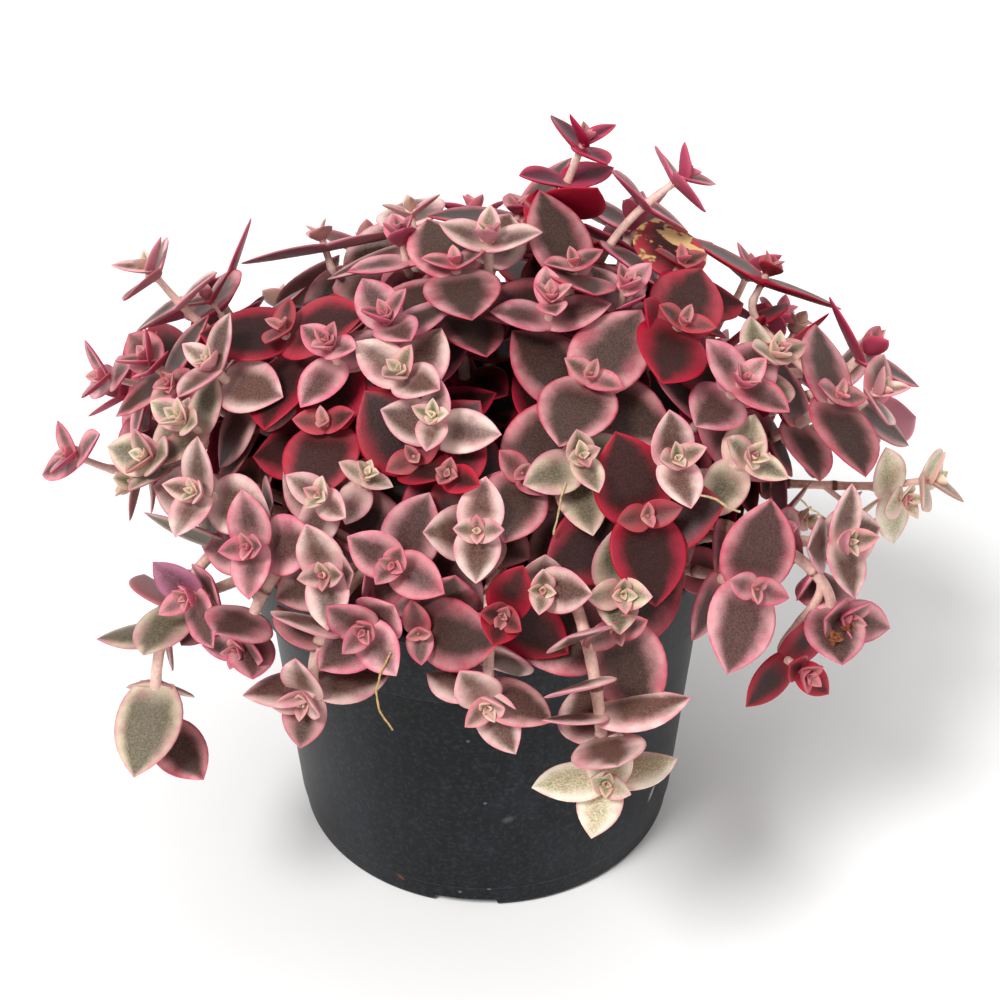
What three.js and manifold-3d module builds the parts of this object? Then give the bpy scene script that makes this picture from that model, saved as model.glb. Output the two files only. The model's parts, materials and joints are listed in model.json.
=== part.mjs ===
// Potted crassula marginalis: a black nursery pot, its soil and a low dome of leafy shoots.
// Millimetres, +Z up, origin at the middle of the pot's underside, front at -Y.
import * as THREE from 'three';
import Module from 'manifold-3d';
import { mergeVertices } from 'three/addons/utils/BufferGeometryUtils.js';

const wasm = await Module();
wasm.setup();

// Pot
const potHeight = 93;
const rimRadius = 60;
const rimFootRadius = 56.8; // lower edge of the rim band
const rimBandHeight = 20;
const wallTopRadius = 52.2;
const footRadius = 46.3;
const wallThickness = 1.2;
const floorThickness = 4;
const footBevel = 1;
const lip = { height: 2.2, step: 0.5 };
const ringLine = { height: 6.3, step: 0.4 }; // faint step round the foot
const potSides = 26; // the soil has as many, so that its flats lie along the pot's
const drain = { count: 4, firstAngle: -96, width: 17, height: 2.4, innerRadius: 30 };
const drainHole = { radius: 4, sides: 8, at: 38 };

// Soil
const seat = 0.3; // clearance wherever one piece stands in or on another
const soilTop = 85;
const rootDepth = 5;

// Dome of foliage that every shoot faces out of
const dome = { centre: [5, 0, 85], reach: [98, 72, 70] };
const skyPull = 0.15; // how far shoots turn from the dome towards the light

// Stems
const stemRadius = { old: 1.35, young: 1.05 };
const stemSides = 3;
const stemSteps = 5;
const sideStemSteps = 3;
const stemRoom = 0.4; // kept clear round a stem
const axisSteps = 24;
const neckLength = { plain: 8, over: 5 }; // straight stretch below the bud
const bow = { rise: 0.45, arrive: 0.33 }; // handles of a stem's curve as shares of its span
const sideBow = { rise: 0.35, arrive: 0.3 };
const arch = { rise: 27, arrive: 18, drop: 14 }; // handle heights of a stem that hangs over the rim
const forkDepth = 15; // where a side shoot leaves its parent, below the parent's bud
const budRise = 1; // how far the stem's end stands above the point its leaves are measured from
const rootSpread = [0.46, 0.62]; // root place as a share of the tip's place, across and in depth
const rootReach = 45;
const rootSpacing = 4.6;
const rootSearch = { steps: 200, stride: 0.35, turn: 2.4 }; // spiral to the nearest free place

// Leaves
const heartLevels = 2; // the two youngest pairs have one outline ring, the rest have two
const heartRings = [0.36]; // places of the outline rings along a blade
const leafRings = [0.22, 0.6];
const broadLength = 15; // a blade longer than this always has two
const rootSinks = [0.5, 1.2, 2]; // how far a leaf root passes the stem's axis, as deep as it needs
const bladeEdge = { rise: 0.62, fall: 0.8 };
const bladeRoom = 0.5; // kept clear round a leaf
const variety = { length: 0.16, turn: 14, lift: 14, twist: 16 }; // whole range of each chance change

// Leaf pairs of each kind of shoot, from the bud down.
// depth is below the bud, lift is the angle above square to the stem.
const kinds = {
  open: [
    { depth: 1, length: 7.5, width: 5.2, thick: 1.5, lift: 48, cup: 0.32, bend: 0.05 },
    { depth: 2.6, length: 12, width: 9.6, thick: 1.6, lift: 22, cup: 0.2, bend: 0.02 },
    { depth: 7, length: 16, width: 13, thick: 1.7, lift: 6, cup: 0.12, bend: -0.02 },
    { depth: 16, length: 19, width: 15.5, thick: 1.8, lift: -4, cup: 0.08, bend: -0.05 },
  ],
  full: [
    { depth: 1, length: 7.5, width: 5.2, thick: 1.5, lift: 48, cup: 0.32, bend: 0.05 },
    { depth: 3, length: 16, width: 13, thick: 1.7, lift: 18, cup: 0.12, bend: 0 },
    { depth: 9, length: 20, width: 17, thick: 1.9, lift: 2, cup: 0.07, bend: -0.05 },
    { depth: 18, length: 21, width: 18, thick: 1.9, lift: -4, cup: 0.06, bend: -0.06 },
  ],
  small: [
    { depth: 0.8, length: 5.5, width: 3.8, thick: 1.3, lift: 48, cup: 0.32, bend: 0.05 },
    { depth: 2.2, length: 9, width: 6.6, thick: 1.4, lift: 24, cup: 0.22, bend: 0.02 },
    { depth: 7, length: 13, width: 10, thick: 1.6, lift: 8, cup: 0.12, bend: -0.03 },
  ],
  broad: [
    { depth: 3.5, length: 20, width: 16.5, thick: 1.9, lift: 10, cup: 0.08, bend: -0.03 },
    { depth: 9, length: 21, width: 17.5, thick: 1.9, lift: 0, cup: 0.06, bend: -0.06 },
  ],
  sprig: [
    { depth: 0.8, length: 9, width: 5, thick: 1.3, lift: 34, cup: 0.3, bend: 0.04 },
    { depth: 2.6, length: 13, width: 8, thick: 1.5, lift: 12, cup: 0.22, bend: -0.04 },
    { depth: 11, length: 14, width: 9, thick: 1.5, lift: 6, cup: 0.2, bend: -0.06 },
    { depth: 23, length: 17, width: 13, thick: 1.7, lift: 0, cup: 0.12, bend: -0.05 },
  ],
  hanging: [
    { depth: 0.8, length: 14, width: 12, thick: 1.5, lift: 50, cup: 0.15, bend: -0.04 },
    { depth: 12, length: 21, width: 15, thick: 1.8, lift: 38, cup: 0.1, bend: -0.06 },
    { depth: 27, length: 15, width: 13, thick: 1.7, lift: 20, cup: 0.1, bend: -0.04 },
  ],
};

const potColour = '#2b2e31';
const soilColour = '#1c1613';
const toneColours = {
  cream: '#cfae9f',
  pink: '#b87f83',
  plum: '#7a4a50',
  crimson: '#8e1d3a',
  green: '#a9a383',
};

// One row for each shoot: kind, tone, place of its bud, and the turn of its first leaf pair
// seen from the front. face is where it points, over means it hangs over the rim.
const frontShoots = [
  { kind: 'open', tone: 'cream', tip: [-60, -42, 119], roll: -10 },
  { kind: 'open', tone: 'green', tip: [-72, -29, 119], roll: 85,
    sides: [{ kind: 'small', tone: 'green', tip: [-64, -28, 128], roll: 70 }] },
  { kind: 'open', tone: 'cream', tip: [-58, -20, 137], roll: -20 },
  { kind: 'sprig', tone: 'cream', tip: [-74, 8, 144], roll: 35, face: [-0.6, 0.15, 0.78] },
  { kind: 'sprig', tone: 'pink', tip: [-86, 4, 118], roll: 100, face: [-0.82, -0.32, 0.45] },
  { kind: 'sprig', tone: 'pink', tip: [-93, -8, 105], roll: 110, face: [-0.72, -0.3, 0.6] },
  { kind: 'open', tone: 'pink', tip: [-48, -53, 113], roll: 5 },
  { kind: 'open', tone: 'cream', tip: [-32, -61, 112], roll: 10 },
  { kind: 'open', tone: 'pink', tip: [-62, -52, 99], roll: 35 },
  { kind: 'small', tone: 'pink', tip: [-51, -61, 92], roll: 80, over: true },
  { kind: 'open', tone: 'cream', tip: [-37, -70, 86], roll: -12, over: true },
  { kind: 'open', tone: 'pink', tip: [-24, -68, 103], roll: 40 },
  { kind: 'open', tone: 'pink', tip: [-18, -63, 116], roll: 60,
    sides: [{ kind: 'broad', tone: 'plum', tip: [-13, -66, 101], roll: 5 }] },
  { kind: 'open', tone: 'cream', tip: [-1, -61, 123], roll: -3 },
  { kind: 'open', tone: 'crimson', tip: [4, -69, 108], roll: -25 },
  { kind: 'open', tone: 'cream', tip: [1, -76, 90], roll: 35, over: true },
  { kind: 'open', tone: 'cream', tip: [25, -84, 76], roll: -15, face: [0.1, -0.8, 0.6], over: true },
  { kind: 'small', tone: 'crimson', tip: [-7, -53, 131], roll: 70,
    sides: [{ kind: 'small', tone: 'cream', tip: [-10, -44, 139], roll: -10 }] },
  { kind: 'small', tone: 'cream', tip: [-33, -52, 125], roll: 60 },
  { kind: 'open', tone: 'cream', tip: [-17, -35, 144], roll: 60 },
  { kind: 'open', tone: 'pink', tip: [-20, -23, 150], roll: 35,
    sides: [{ kind: 'small', tone: 'pink', tip: [-32, -27, 146], roll: 60 }] },
  { kind: 'open', tone: 'cream', tip: [1, -3, 158], roll: 80 },
  { kind: 'sprig', tone: 'crimson', tip: [22, 20, 169], roll: 0, face: [0.35, 0.1, 0.93],
    sides: [{ kind: 'small', tone: 'pink', tip: [12, 8, 157], roll: 0 }] },
  { kind: 'sprig', tone: 'cream', tip: [44, 17, 162], roll: 60, face: [0.8, 0.25, 0.55] },
  { kind: 'small', tone: 'pink', tip: [30, -13, 152], roll: 120 },
  { kind: 'broad', tone: 'plum', tip: [22, -33, 142], roll: 60 },
  { kind: 'broad', tone: 'plum', tip: [19, -6, 153], roll: 110,
    sides: [{ kind: 'small', tone: 'pink', tip: [14, -20, 153], roll: 0 }] },
  { kind: 'broad', tone: 'plum', tip: [-6, -7, 154], roll: 100 },
  { kind: 'broad', tone: 'crimson', tip: [42, -18, 146], roll: 60, face: [0.4, -0.3, 0.85] },
  { kind: 'broad', tone: 'crimson', tip: [43, 4, 148], roll: 90 },
  { kind: 'open', tone: 'pink', tip: [54, -30, 139], roll: 40,
    sides: [{ kind: 'small', tone: 'green', tip: [62, -19, 139], roll: 90 }] },
  { kind: 'broad', tone: 'green', tip: [76, -20, 129], roll: 80 },
  { kind: 'open', tone: 'cream', tip: [87, -8, 122], roll: -35 },
  { kind: 'sprig', tone: 'green', tip: [101, -12, 101], roll: 120, face: [0.9, -0.25, 0.35] },
  { kind: 'open', tone: 'cream', tip: [76, -46, 109], roll: 5 },
  { kind: 'open', tone: 'pink', tip: [77, -52, 93], roll: 80, over: true,
    sides: [{ kind: 'small', tone: 'crimson', tip: [68, -59, 84], roll: 60 }] },
  { kind: 'broad', tone: 'pink', tip: [56, -58, 106], roll: 75 },
  { kind: 'open', tone: 'cream', tip: [39, -49, 132], roll: 15,
    sides: [{ kind: 'small', tone: 'green', tip: [55, -44, 129], roll: 60 }] },
  { kind: 'small', tone: 'green', tip: [20, -51, 134], roll: 15,
    sides: [{ kind: 'broad', tone: 'plum', tip: [8, -47, 127], roll: 50 }] },
  { kind: 'broad', tone: 'crimson', tip: [33, -56, 123], roll: 100,
    sides: [{ kind: 'small', tone: 'green', tip: [28, -66, 111], roll: 90 }] },
  { kind: 'open', tone: 'cream', tip: [12, -66, 112], roll: 85 },
  { kind: 'broad', tone: 'plum', tip: [27, -68, 103], roll: 110 },
  { kind: 'broad', tone: 'crimson', tip: [-14, -44, 129], roll: 125 },
  { kind: 'broad', tone: 'crimson', tip: [-33, -34, 131], roll: 95 },
  { kind: 'broad', tone: 'crimson', tip: [-43, -14, 142], roll: 0 },
  { kind: 'hanging', tone: 'green', tip: [-70, -52, 62], roll: 20, face: [0.3, -0.2, -0.93],
    over: true },
  { kind: 'open', tone: 'plum', tip: [-74, -4, 128], roll: 60 },
];

// Shoots behind the crest, in rows from the crest down to the rim: height angle above the
// rim, how many, and the first and last direction round the pot.
const backRows = [
  { height: 62, count: 2, from: 50, to: 120 },
  { height: 34, count: 5, from: 8, to: 150 },
  { height: 6, count: 4, from: 22, to: 148, over: true },
];
const backWander = 6; // degrees of chance height in a row
const backSideRise = 13; // degrees that a side shoot stands above its parent, halfway to the next
const backKinds = ['full', 'broad', 'full', 'sprig', 'full'];
const backSideKinds = ['broad', 'small', 'broad'];
const backTones = ['pink', 'cream', 'plum', 'pink', 'crimson', 'green'];
const backSeed = 3;
const leafSeed = 400;

// Ways a leaf gives way to its neighbours, tried in this order: lift, turn, twist, size
const leafGives = [
  [0, 0, 0, 1], [12, 0, 0, 1], [-12, 0, 0, 1], [0, 15, 0, 1], [0, -15, 0, 1],
  [0, 0, 20, 1], [0, 0, -20, 1], [24, 0, 0, 0.95], [12, 15, 12, 0.95], [12, -15, -12, 0.95],
  [-12, 15, 0, 0.9], [-12, -15, 0, 0.9], [36, 0, 0, 0.9], [24, 24, 0, 0.85], [24, -24, 0, 0.85],
  [-22, 0, 0, 0.85], [0, 0, 0, 0.75], [20, 0, 0, 0.7], [-15, 0, 0, 0.7], [45, 0, 0, 0.7],
];

// Ways a stem bows round its neighbours: how far its middle moves across and in depth
const stemGives = [
  [0, 0], [7, 0], [-7, 0], [0, 7], [0, -7], [9, 9], [-9, 9], [9, -9], [-9, -9], [14, 0], [-14, 0],
];

const vec = (list) => new THREE.Vector3(...list);
const radians = THREE.MathUtils.degToRad;
const pictureUp = [0, 0.587, 0.81];

// Repeatable random numbers from 0 to 1
function seededRandom(seed) {
  let state = seed >>> 0;
  return () => {
    state = (state + 0x6d2b79f5) >>> 0;
    let mixed = Math.imul(state ^ (state >>> 15), 1 | state);
    mixed = (mixed + Math.imul(mixed ^ (mixed >>> 7), 61 | mixed)) ^ mixed;
    return ((mixed ^ (mixed >>> 14)) >>> 0) / 4294967296;
  };
}

function solidOf(geometry) {
  const bare = geometry.clone();
  bare.deleteAttribute('normal');
  bare.deleteAttribute('uv');
  const merged = mergeVertices(bare, 1e-4);
  const vertProperties = new Float32Array(merged.attributes.position.array);
  const triVerts = new Uint32Array(merged.index.array);
  return new wasm.Manifold(new wasm.Mesh({ numProp: 3, vertProperties, triVerts }));
}

function geometryOf(solid) {
  const mesh = solid.getMesh();
  const geometry = new THREE.BufferGeometry();
  geometry.setAttribute('position', new THREE.BufferAttribute(mesh.vertProperties, 3));
  geometry.setIndex(new THREE.BufferAttribute(mesh.triVerts, 1));
  return geometry;
}

// Direction straight out of the dome, pulled a little towards the sky
function domeFace(tip) {
  const face = tip.clone().sub(vec(dome.centre));
  face.divide(vec(dome.reach)).divide(vec(dome.reach)).normalize();
  face.z += skyPull;
  return face.normalize();
}

// Root places: spread like the tips, each moved along a small spiral until it stands free
function rootOf(tip, taken) {
  const start = new THREE.Vector2(tip.x * rootSpread[0], tip.y * rootSpread[1]);
  if (start.length() > rootReach) start.setLength(rootReach);
  const { steps, stride, turn } = rootSearch;
  for (let step = 0; step < steps; step += 1) {
    const swing = new THREE.Vector2(stride * step, 0).rotateAround(new THREE.Vector2(), turn * step);
    const place = start.clone().add(swing);
    const isFree = taken.every((other) => other.distanceTo(place) >= rootSpacing);
    if (isFree && place.length() <= rootReach) {
      taken.push(place);
      return place;
    }
  }
  throw new Error('no room for a root');
}

// Points from the root to the bud: straight in the soil, then a curve, then a straight neck
function stemPoints(shoot, give) {
  const neckBack = shoot.over ? neckLength.over : neckLength.plain;
  const neck = shoot.tip.clone().addScaledVector(shoot.face, -neckBack);
  const start = shoot.start.clone();
  const span = neck.distanceTo(start);
  const rising = start.clone();
  const coming = neck.clone();
  if (shoot.parent) {
    rising.addScaledVector(shoot.startFace, sideBow.rise * span);
    coming.addScaledVector(shoot.face, -sideBow.arrive * span);
  } else if (shoot.over) {
    rising.z = potHeight + arch.rise;
    coming.z = Math.max(neck.z + arch.drop, potHeight + arch.arrive);
  } else {
    rising.z += bow.rise * span;
    coming.addScaledVector(shoot.face, -bow.arrive * span);
  }
  rising.x += give[0];
  rising.y += give[1];
  const curve = new THREE.CubicBezierCurve3(start, rising, coming, neck);
  const points = shoot.parent ? [] : [start.clone().setZ(start.z - rootDepth)];
  for (let i = 0; i <= axisSteps; i += 1) points.push(curve.getPoint(i / axisSteps));
  points.push(shoot.tip.clone().addScaledVector(shoot.face, budRise));
  return points;
}

// Place and direction on the stem at a depth below its bud
function atDepth(points, depth) {
  let left = depth + budRise;
  for (let i = points.length - 1; i > 0; i -= 1) {
    const run = points[i].distanceTo(points[i - 1]);
    if (left <= run || i === 1) {
      const face = points[i].clone().sub(points[i - 1]).normalize();
      return { place: points[i].clone().addScaledVector(face, -left), face };
    }
    left -= run;
  }
  return null;
}

function stemGeometry(points, radius, steps) {
  const section = new THREE.Shape();
  section.moveTo(radius, 0);
  for (let i = 1; i < stemSides; i += 1) {
    const turn = (2 * Math.PI * i) / stemSides;
    section.lineTo(radius * Math.cos(turn), radius * Math.sin(turn));
  }
  const extrudePath = new THREE.CatmullRomCurve3(points);
  return new THREE.ExtrudeGeometry(section, { steps, extrudePath });
}

// A leaf's own directions: out along it, across it and up from its face
function leafFrame(shoot, points, leaf, give) {
  const { place, face } = atDepth(points, leaf.depth);
  const guide = vec(pictureUp);
  if (shoot.face.y > 0.2) guide.y = -guide.y;
  const across = guide.cross(face).normalize();
  const side = across.applyAxisAngle(face, radians(leaf.turn + give[1]));
  const lift = radians(leaf.lift + give[0]);
  const out = side.clone().multiplyScalar(Math.cos(lift)).addScaledVector(face, Math.sin(lift));
  const up = face.clone().multiplyScalar(Math.cos(lift)).addScaledVector(side, -Math.sin(lift));
  up.applyAxisAngle(out, radians(leaf.twist + give[2]));
  return { place, out, up, across: up.clone().cross(out) };
}

// Every leaf that a shoot would have with no neighbours
function idealLeaves(shoot) {
  const random = seededRandom(leafSeed + shoot.number);
  const chance = (range) => range * (random() - 0.5);
  const leaves = [];
  kinds[shoot.kind].forEach((pair, level) => {
    for (const half of [0, 180]) {
      leaves.push({
        ...pair,
        level,
        rings: level < heartLevels && pair.length < broadLength ? heartRings : leafRings,
        length: pair.length * (1 + chance(variety.length)),
        turn: shoot.roll + 90 * level + half + chance(variety.turn),
        lift: pair.lift + chance(variety.lift),
        twist: chance(variety.twist),
      });
    }
  });
  return leaves;
}

function halfWidth(leaf, along) {
  const { rise, fall } = bladeEdge;
  const widest = rise / (rise + fall);
  const peak = widest ** rise * (1 - widest) ** fall;
  return (0.5 * leaf.width * along ** rise * (1 - along) ** fall) / peak;
}

// Rings of two edge points and a keel point, and the tip: cupped across and bent along
function bladeRings(leaf, frame, size, swell = 0, sink = rootSinks[0]) {
  const length = leaf.length * size;
  const point = (along, across, up) => frame.place.clone()
    .addScaledVector(frame.out, along)
    .addScaledVector(frame.across, across)
    .addScaledVector(frame.up, up);
  const rings = leaf.rings.map((along) => {
    const half = halfWidth(leaf, along) * size + swell;
    const middle = leaf.bend * length * along * along;
    const edge = middle + leaf.cup * half;
    return [
      point(along * length, half, edge + swell),
      point(along * length, -half, edge + swell),
      point(along * length, 0, middle - leaf.thick - swell),
    ];
  });
  return { root: point(-sink, 0, 0), rings, tip: point(length + swell, 0, leaf.bend * length) };
}

// A closed skin from one end point through rings of points to the other end point
function chainGeometry(first, rings, last) {
  const points = [first, ...rings.flat(), last];
  const around = rings[0].length;
  const lastRing = around * (rings.length - 1);
  const index = [];
  for (let i = 0; i < around; i += 1) {
    const [a, b] = [1 + i, 1 + ((i + 1) % around)];
    index.push(0, b, a);
    for (let k = 0; k < lastRing; k += around) {
      index.push(a + k, b + k, a + k + around, b + k, b + k + around, a + k + around);
    }
    index.push(points.length - 1, a + lastRing, b + lastRing);
  }
  const geometry = new THREE.BufferGeometry().setFromPoints(points);
  geometry.setIndex(index);
  return geometry;
}

function bladeGeometry(leaf, frame, size, swell = 0, sink = rootSinks[0]) {
  const { root, rings, tip } = bladeRings(leaf, frame, size, swell, sink);
  return chainGeometry(root, rings, tip);
}

// An opposite pair is one body, joined round the stem as the real leaves are
function pairGeometry(one, other) {
  const near = bladeRings(one.leaf, one.frame, one.size);
  const far = bladeRings(other.leaf, other.frame, other.size);
  const farRings = far.rings.map(([left, right, keel]) => [right, left, keel]);
  return chainGeometry(far.tip, [...farRings.reverse(), ...near.rings], near.tip);
}

function turned(profile, sides) {
  const points = profile.map(([radius, height]) => new THREE.Vector2(radius, height));
  return new THREE.LatheGeometry(points, sides).rotateX(Math.PI / 2);
}

const shoulder = potHeight - rimBandHeight;
const ledge = shoulder + wallThickness; // inside, under the rim band

function potSolid() {
  const ringRadius = footRadius + ((wallTopRadius - footRadius) * ringLine.height) / shoulder;
  const profile = [
    [0, 0],
    [footRadius - footBevel, 0],
    [footRadius - ringLine.step, footBevel],
    [ringRadius - ringLine.step, ringLine.height],
    [ringRadius, ringLine.height + ringLine.step],
    [wallTopRadius, shoulder],
    [rimFootRadius, shoulder],
    [rimRadius - lip.step, potHeight - lip.height],
    [rimRadius, potHeight - lip.height + lip.step],
    [rimRadius, potHeight],
    [rimRadius - wallThickness, potHeight],
    [rimFootRadius - wallThickness, ledge],
    [wallTopRadius - wallThickness, ledge],
    [footRadius - wallThickness, floorThickness],
    [0, floorThickness],
  ];
  let pot = solidOf(turned(profile, potSides));
  const { radius, sides, at } = drainHole;
  for (let i = 0; i < drain.count; i += 1) {
    const angle = radians(drain.firstAngle + (360 / drain.count) * i);
    const reach = rimRadius - drain.innerRadius;
    const channel = new THREE.BoxGeometry(reach, drain.width, 2 * drain.height);
    channel.translate(drain.innerRadius + reach / 2, 0, 0).rotateZ(angle);
    const hole = new THREE.CylinderGeometry(radius, radius, 4 * floorThickness, sides);
    hole.rotateX(Math.PI / 2).translate(at, 0, 0).rotateZ(angle);
    pot = pot.subtract(solidOf(channel)).subtract(solidOf(hole));
  }
  return pot;
}

// Soil fills the pot to its own level, with a blind hole for each stem
function soilSolid(shoots) {
  const gap = wallThickness + seat;
  const bandShare = (soilTop - ledge) / (potHeight - ledge);
  const profile = [
    [0, floorThickness + seat],
    [footRadius - gap, floorThickness + seat],
    [wallTopRadius - gap, ledge + seat],
    [rimFootRadius - gap, ledge + seat],
    [rimFootRadius + (rimRadius - rimFootRadius) * bandShare - gap, soilTop],
    [0, soilTop],
  ];
  let soil = solidOf(turned(profile, potSides));
  for (const shoot of shoots) {
    if (shoot.parent) continue;
    const radius = shoot.radius + seat / Math.cos(Math.PI / stemSides);
    const points = shoot.points.map((point) => point.clone());
    points[0].z -= seat;
    soil = soil.subtract(solidOf(stemGeometry(points, radius, stemSteps)));
  }
  return soil;
}

// Rows behind the crest, written the same way as the front shoots
function backShoots() {
  const random = seededRandom(backSeed);
  const shoots = [];
  const pick = (list, step = 0) => list[(shoots.length + step) % list.length];
  const onDome = (round, height) => {
    const [turn, rise] = [radians(round), radians(height + backWander * (random() - 0.5))];
    const flat = Math.cos(rise);
    const out = vec([Math.cos(turn) * flat, Math.sin(turn) * flat, Math.sin(rise)]);
    return out.multiply(vec(dome.reach)).add(vec(dome.centre)).toArray();
  };
  for (const row of backRows) {
    const apart = (row.to - row.from) / (row.count - 1);
    for (let i = 0; i < row.count; i += 1) {
      const round = row.from + apart * i;
      const tip = onDome(round, row.height);
      const sideTip = onDome(round + apart / 2, row.height + backSideRise);
      const roll = 180 * random();
      const side = { kind: pick(backSideKinds), tone: pick(backTones, 2), tip: sideTip };
      side.roll = 180 * random();
      shoots.push({
        kind: pick(backKinds),
        tone: pick(backTones),
        tip,
        roll,
        over: row.over,
        sides: [side],
      });
    }
  }
  return shoots;
}

// The whole list, with every side shoot after its parent
function listShoots() {
  const shoots = [];
  const add = (row, name, parent) => {
    const tip = vec(row.tip);
    const face = row.face ? vec(row.face).normalize() : domeFace(tip);
    const isYoung = row.kind === 'sprig' || Boolean(parent);
    const radius = isYoung ? stemRadius.young : stemRadius.old;
    const shoot = { ...row, name, parent, tip, face, radius, number: shoots.length };
    shoots.push(shoot);
    return shoot;
  };
  [...frontShoots, ...backShoots()].forEach((row, i) => {
    const name = `shoot_${String(i + 1).padStart(2, '0')}`;
    const parent = add(row, name, null);
    for (const side of row.sides ?? []) add(side, name, parent);
  });
  return shoots;
}

// Things already placed, each with the node it belongs to
const placed = [];

function isFree(solid, name) {
  const box = solid.boundingBox();
  const isNear = (other) => [0, 1, 2].every((k) => (
    box.min[k] < other.box.max[k] && box.max[k] > other.box.min[k]
  ));
  return placed.every((other) => (
    other.name === name || !isNear(other) || solid.intersect(other.solid).isEmpty()
  ));
}

function keep(solid, name) {
  placed.push({ solid, name, box: solid.boundingBox() });
}

// The outer skin alone, with any hollow that joining has sealed filled up
function filled(solid) {
  const volume = (one) => one.volume();
  return solid.decompose().reduce((most, one) => (volume(one) > volume(most) ? one : most));
}

// Joins the first of the bodies that meets the node grown so far
function graft(name, bodies) {
  const stem = parts.get(name);
  const body = bodies.find((one) => !one.intersect(stem).isEmpty());
  if (!body) return false;
  keep(body, name);
  parts.set(name, stem.add(body));
  return true;
}

const pot = potSolid();
keep(pot, 'pot');

const shoots = listShoots();
const rootsTaken = [];
const parts = new Map();

for (const shoot of shoots) {
  if (shoot.parent) {
    const fork = atDepth(shoot.parent.points, forkDepth);
    shoot.start = fork.place;
    shoot.startFace = fork.face;
  } else {
    const root = rootOf(shoot.tip, rootsTaken);
    shoot.start = new THREE.Vector3(root.x, root.y, soilTop);
  }
  const steps = shoot.parent ? sideStemSteps : stemSteps;
  const give = stemGives.find((way) => {
    const roomy = stemGeometry(stemPoints(shoot, way), shoot.radius + stemRoom, steps);
    return isFree(solidOf(roomy), shoot.name);
  });
  if (!give) throw new Error(`no way for the stem of ${shoot.name}`);
  shoot.points = stemPoints(shoot, give);
  const stem = solidOf(stemGeometry(shoot.points, shoot.radius, steps));
  if (shoot.parent) {
    graft(shoot.name, [stem]);
  } else {
    keep(stem, shoot.name);
    parts.set(shoot.name, stem);
  }
}

const soil = soilSolid(shoots);
keep(soil, 'soil');

// The leaf bent the first way that keeps it clear of every other node
function grownLeaf(shoot, leaf) {
  const give = leafGives.find((way) => {
    const frame = leafFrame(shoot, shoot.points, leaf, way);
    return isFree(solidOf(bladeGeometry(leaf, frame, way[3], bladeRoom)), shoot.name);
  });
  if (!give) return null;
  return { leaf, frame: leafFrame(shoot, shoot.points, leaf, give), size: give[3] };
}

// Joins an opposite pair as one body, or else each leaf by itself
function growPair(shoot, level) {
  const leaves = shoot.leaves.filter((leaf) => leaf.level === level);
  const grown = leaves.map((leaf) => grownLeaf(shoot, leaf)).filter(Boolean);
  if (grown.length === 2) {
    const pair = solidOf(pairGeometry(...grown));
    if (isFree(pair, shoot.name) && graft(shoot.name, [pair])) return;
  }
  for (const { leaf, frame, size } of grown) {
    graft(shoot.name, rootSinks.map((sink) => solidOf(bladeGeometry(leaf, frame, size, 0, sink))));
  }
}

// Youngest pairs first, so that every rosette's heart is whole
const levels = Math.max(...Object.values(kinds).map((pairs) => pairs.length));
for (const shoot of shoots) shoot.leaves = idealLeaves(shoot);
for (let level = 0; level < levels; level += 1) {
  for (const shoot of shoots) growPair(shoot, level);
}

const plant = new THREE.Group();

function addMesh(name, solid, color, roughness) {
  const material = new THREE.MeshStandardMaterial({ color, roughness, metalness: 0 });
  const mesh = new THREE.Mesh(geometryOf(solid), material);
  mesh.name = name;
  plant.add(mesh);
}

addMesh('pot', pot, potColour, 0.62);
addMesh('soil', soil, soilColour, 1);
for (const [name, solid] of parts) {
  const { tone } = shoots.find((shoot) => shoot.name === name);
  addMesh(name, filled(solid), toneColours[tone], 0.5);
}

export default plant;
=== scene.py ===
import json
import math
from functools import partial
import bmesh
import bpy
import numpy as np
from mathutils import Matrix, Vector, bvhtree, kdtree

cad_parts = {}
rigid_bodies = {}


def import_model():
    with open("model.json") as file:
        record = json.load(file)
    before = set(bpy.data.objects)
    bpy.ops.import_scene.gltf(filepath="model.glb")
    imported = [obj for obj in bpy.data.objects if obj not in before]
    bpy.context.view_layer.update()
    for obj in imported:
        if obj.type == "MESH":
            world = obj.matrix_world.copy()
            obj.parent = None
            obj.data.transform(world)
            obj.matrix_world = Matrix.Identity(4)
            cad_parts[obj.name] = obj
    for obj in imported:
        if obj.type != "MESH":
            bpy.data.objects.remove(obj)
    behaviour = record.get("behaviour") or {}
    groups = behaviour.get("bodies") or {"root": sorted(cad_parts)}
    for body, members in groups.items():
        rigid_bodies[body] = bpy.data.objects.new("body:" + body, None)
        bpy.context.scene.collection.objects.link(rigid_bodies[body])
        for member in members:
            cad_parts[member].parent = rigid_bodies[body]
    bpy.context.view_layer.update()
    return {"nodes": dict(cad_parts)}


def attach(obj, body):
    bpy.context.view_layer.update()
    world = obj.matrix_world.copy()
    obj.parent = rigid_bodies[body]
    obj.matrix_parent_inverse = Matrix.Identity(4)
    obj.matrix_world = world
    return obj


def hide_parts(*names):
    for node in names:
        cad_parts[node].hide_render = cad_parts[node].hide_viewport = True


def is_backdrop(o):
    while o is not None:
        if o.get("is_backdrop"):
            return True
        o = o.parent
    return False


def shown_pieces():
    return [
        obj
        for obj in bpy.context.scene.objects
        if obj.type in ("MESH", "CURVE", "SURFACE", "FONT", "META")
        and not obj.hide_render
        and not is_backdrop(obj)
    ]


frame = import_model()
mm = 0.001

# Settings that many nodes share
smooth, inColour = {"interpolation_type": "SMOOTHSTEP"}, {"data_type": "RGBA"}
times, timesPlus = {"operation": "MULTIPLY"}, {"operation": "MULTIPLY_ADD"}


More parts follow.
